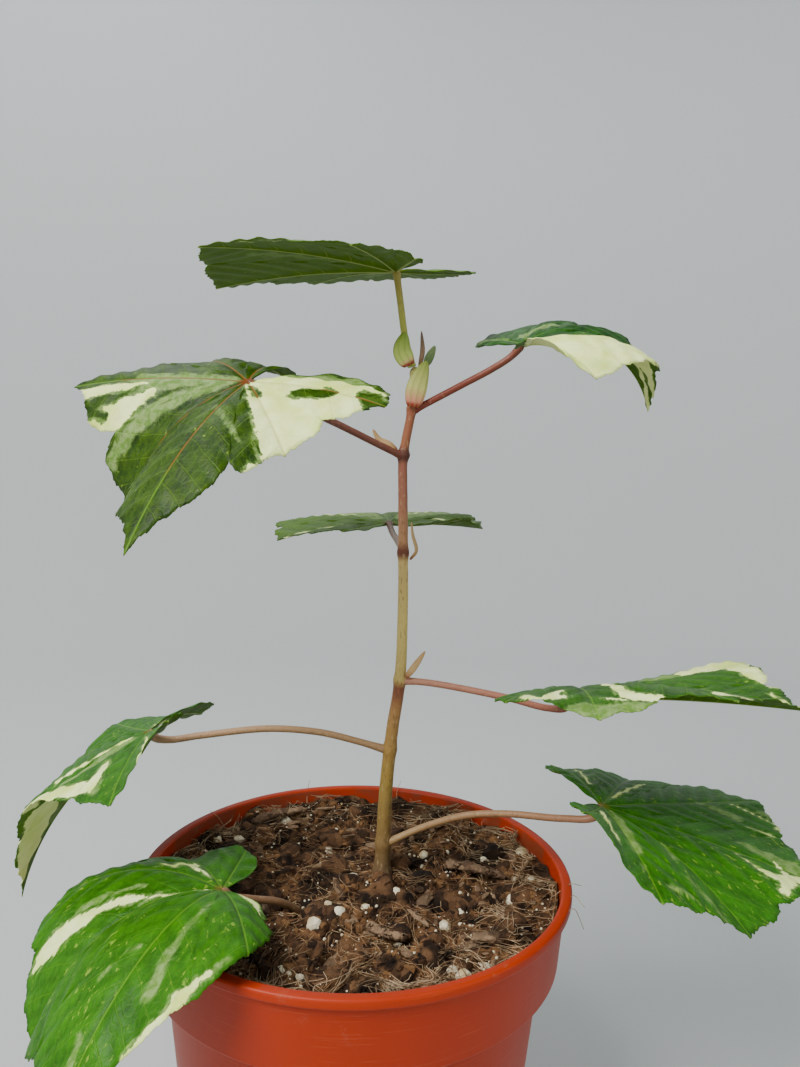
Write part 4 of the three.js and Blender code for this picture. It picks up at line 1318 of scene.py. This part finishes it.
green_scale = scale_finish("green_scale", (138, 44, 28), (196, 168, 110), (176, 190, 92),
                           (112, 140, 34), (118, 136, 44), 0.22)
pink_scale = scale_finish("pink_scale", (138, 44, 28), (206, 132, 108), (190, 190, 106),
                          (124, 142, 48), (140, 138, 70), 0.42)
brown_scale = scale_finish("brown_scale", (110, 70, 52), (150, 114, 84), (160, 126, 96),
                           (110, 84, 70), (84, 58, 44))
young_leaf = scale_finish("young_leaf", (110, 84, 52), (92, 112, 62), (86, 108, 58),
                          (120, 134, 84), (60, 82, 44))
dry_scale = scale_finish("dry_scale", (134, 90, 58), (172, 130, 86), (192, 156, 108),
                         (178, 142, 94), (118, 80, 50))
SCALE_LOOKS = {"tip_scale_left": (green_scale, "green_scale"),
               "sheath_scale": (pink_scale, "green_scale"),
               "tip_leaflet": (young_leaf, "green_scale"),
               "tip_scale_brown": (brown_scale, "dry_scale")}
for name, (width, thick, face, line) in SCALES.items():
    finish, slot = SCALE_LOOKS.get(name, (dry_scale, "dry_scale"))
    piece = pod("pod_" + name, line, width, thick, face)
    piece.data.materials.append(finish)
    stand_for(piece, slot, name)
print(len(SCALES), "scales")

# %% [markdown]
# ## Bark and stray fibres
# A few large chips of bark lie where they catch the eye, so they are listed one by one. Each is a
# pod like the scales, roughened by moving every point along its normal. The fibres that stick up
# from the mix or hang over the rim are thin limbs.

# %% Large chips of bark: line and width
CHIPS = [
    ([(26, 12, 99.4), (34, 9, 100.2), (43, 4, 100)], 6.5),
    ([(31, -25, 99), (37, -26, 99.8), (43, -22, 99.4)], 6.0),
    ([(-36, 34, 101.8), (-28, 40, 102.4), (-19, 44, 102)], 5.0),
    ([(4, -20, 98.8), (8, -24, 99), (14, -25, 98.4)], 3.5),
]
LUMPS = ((260, 1.1), (700, 0.6), (2200, 0.3))              # how fine, and how high in mm
for number, (line, width) in enumerate(CHIPS, 1):
    chip = pod(f"bark_piece_{number}", line, width, 2.4, (0.1, 0.3, 1), grooves=9)
    for corner in chip.data.vertices:
        rough = sum(noise.noise(corner.co * fine) * high for fine, high in LUMPS)
        corner.co += corner.normal * (rough * MM)
    chip.data.materials.append(bark)
    stand_for(chip, "potting_mix")
    print(chip.name, len(chip.data.polygons), "faces")

# %% Fibres that stick up or hang over the rim
STRAYS = [
    [(52, -14, 99), (56.5, -15, 103), (58.3, -15.5, 105.5), (61, -17, 103)],
    [(50, -20, 98), (55, -21.5, 103.5), (57, -22, 105.4), (59.3, -24, 101)],
    [(53, -8, 100), (57.2, -9, 104), (58.8, -9.5, 105.6), (62, -9, 104.8)],
    [(-20, 50, 101), (-20.5, 54.5, 104), (-20, 57, 107.5)],
    [(12, 52, 101), (11, 54.5, 104), (12.5, 57, 108)],
    [(-44, 30, 101), (-46.5, 31.5, 104), (-49.5, 32, 106)],
]
for number, line in enumerate(STRAYS, 1):
    line = smooth_line(line, 0.8)
    start = chain(f"stray_line_{number}", line, np.linspace(0.13, 0.07, len(line)))
    stray = limb.make(f"stray_fibre_{number}", start, Sides=5, Relief=0.0, Grain=900.0,
                      Seed=number, Material=coir)
    stand_for(stray, "potting_mix")
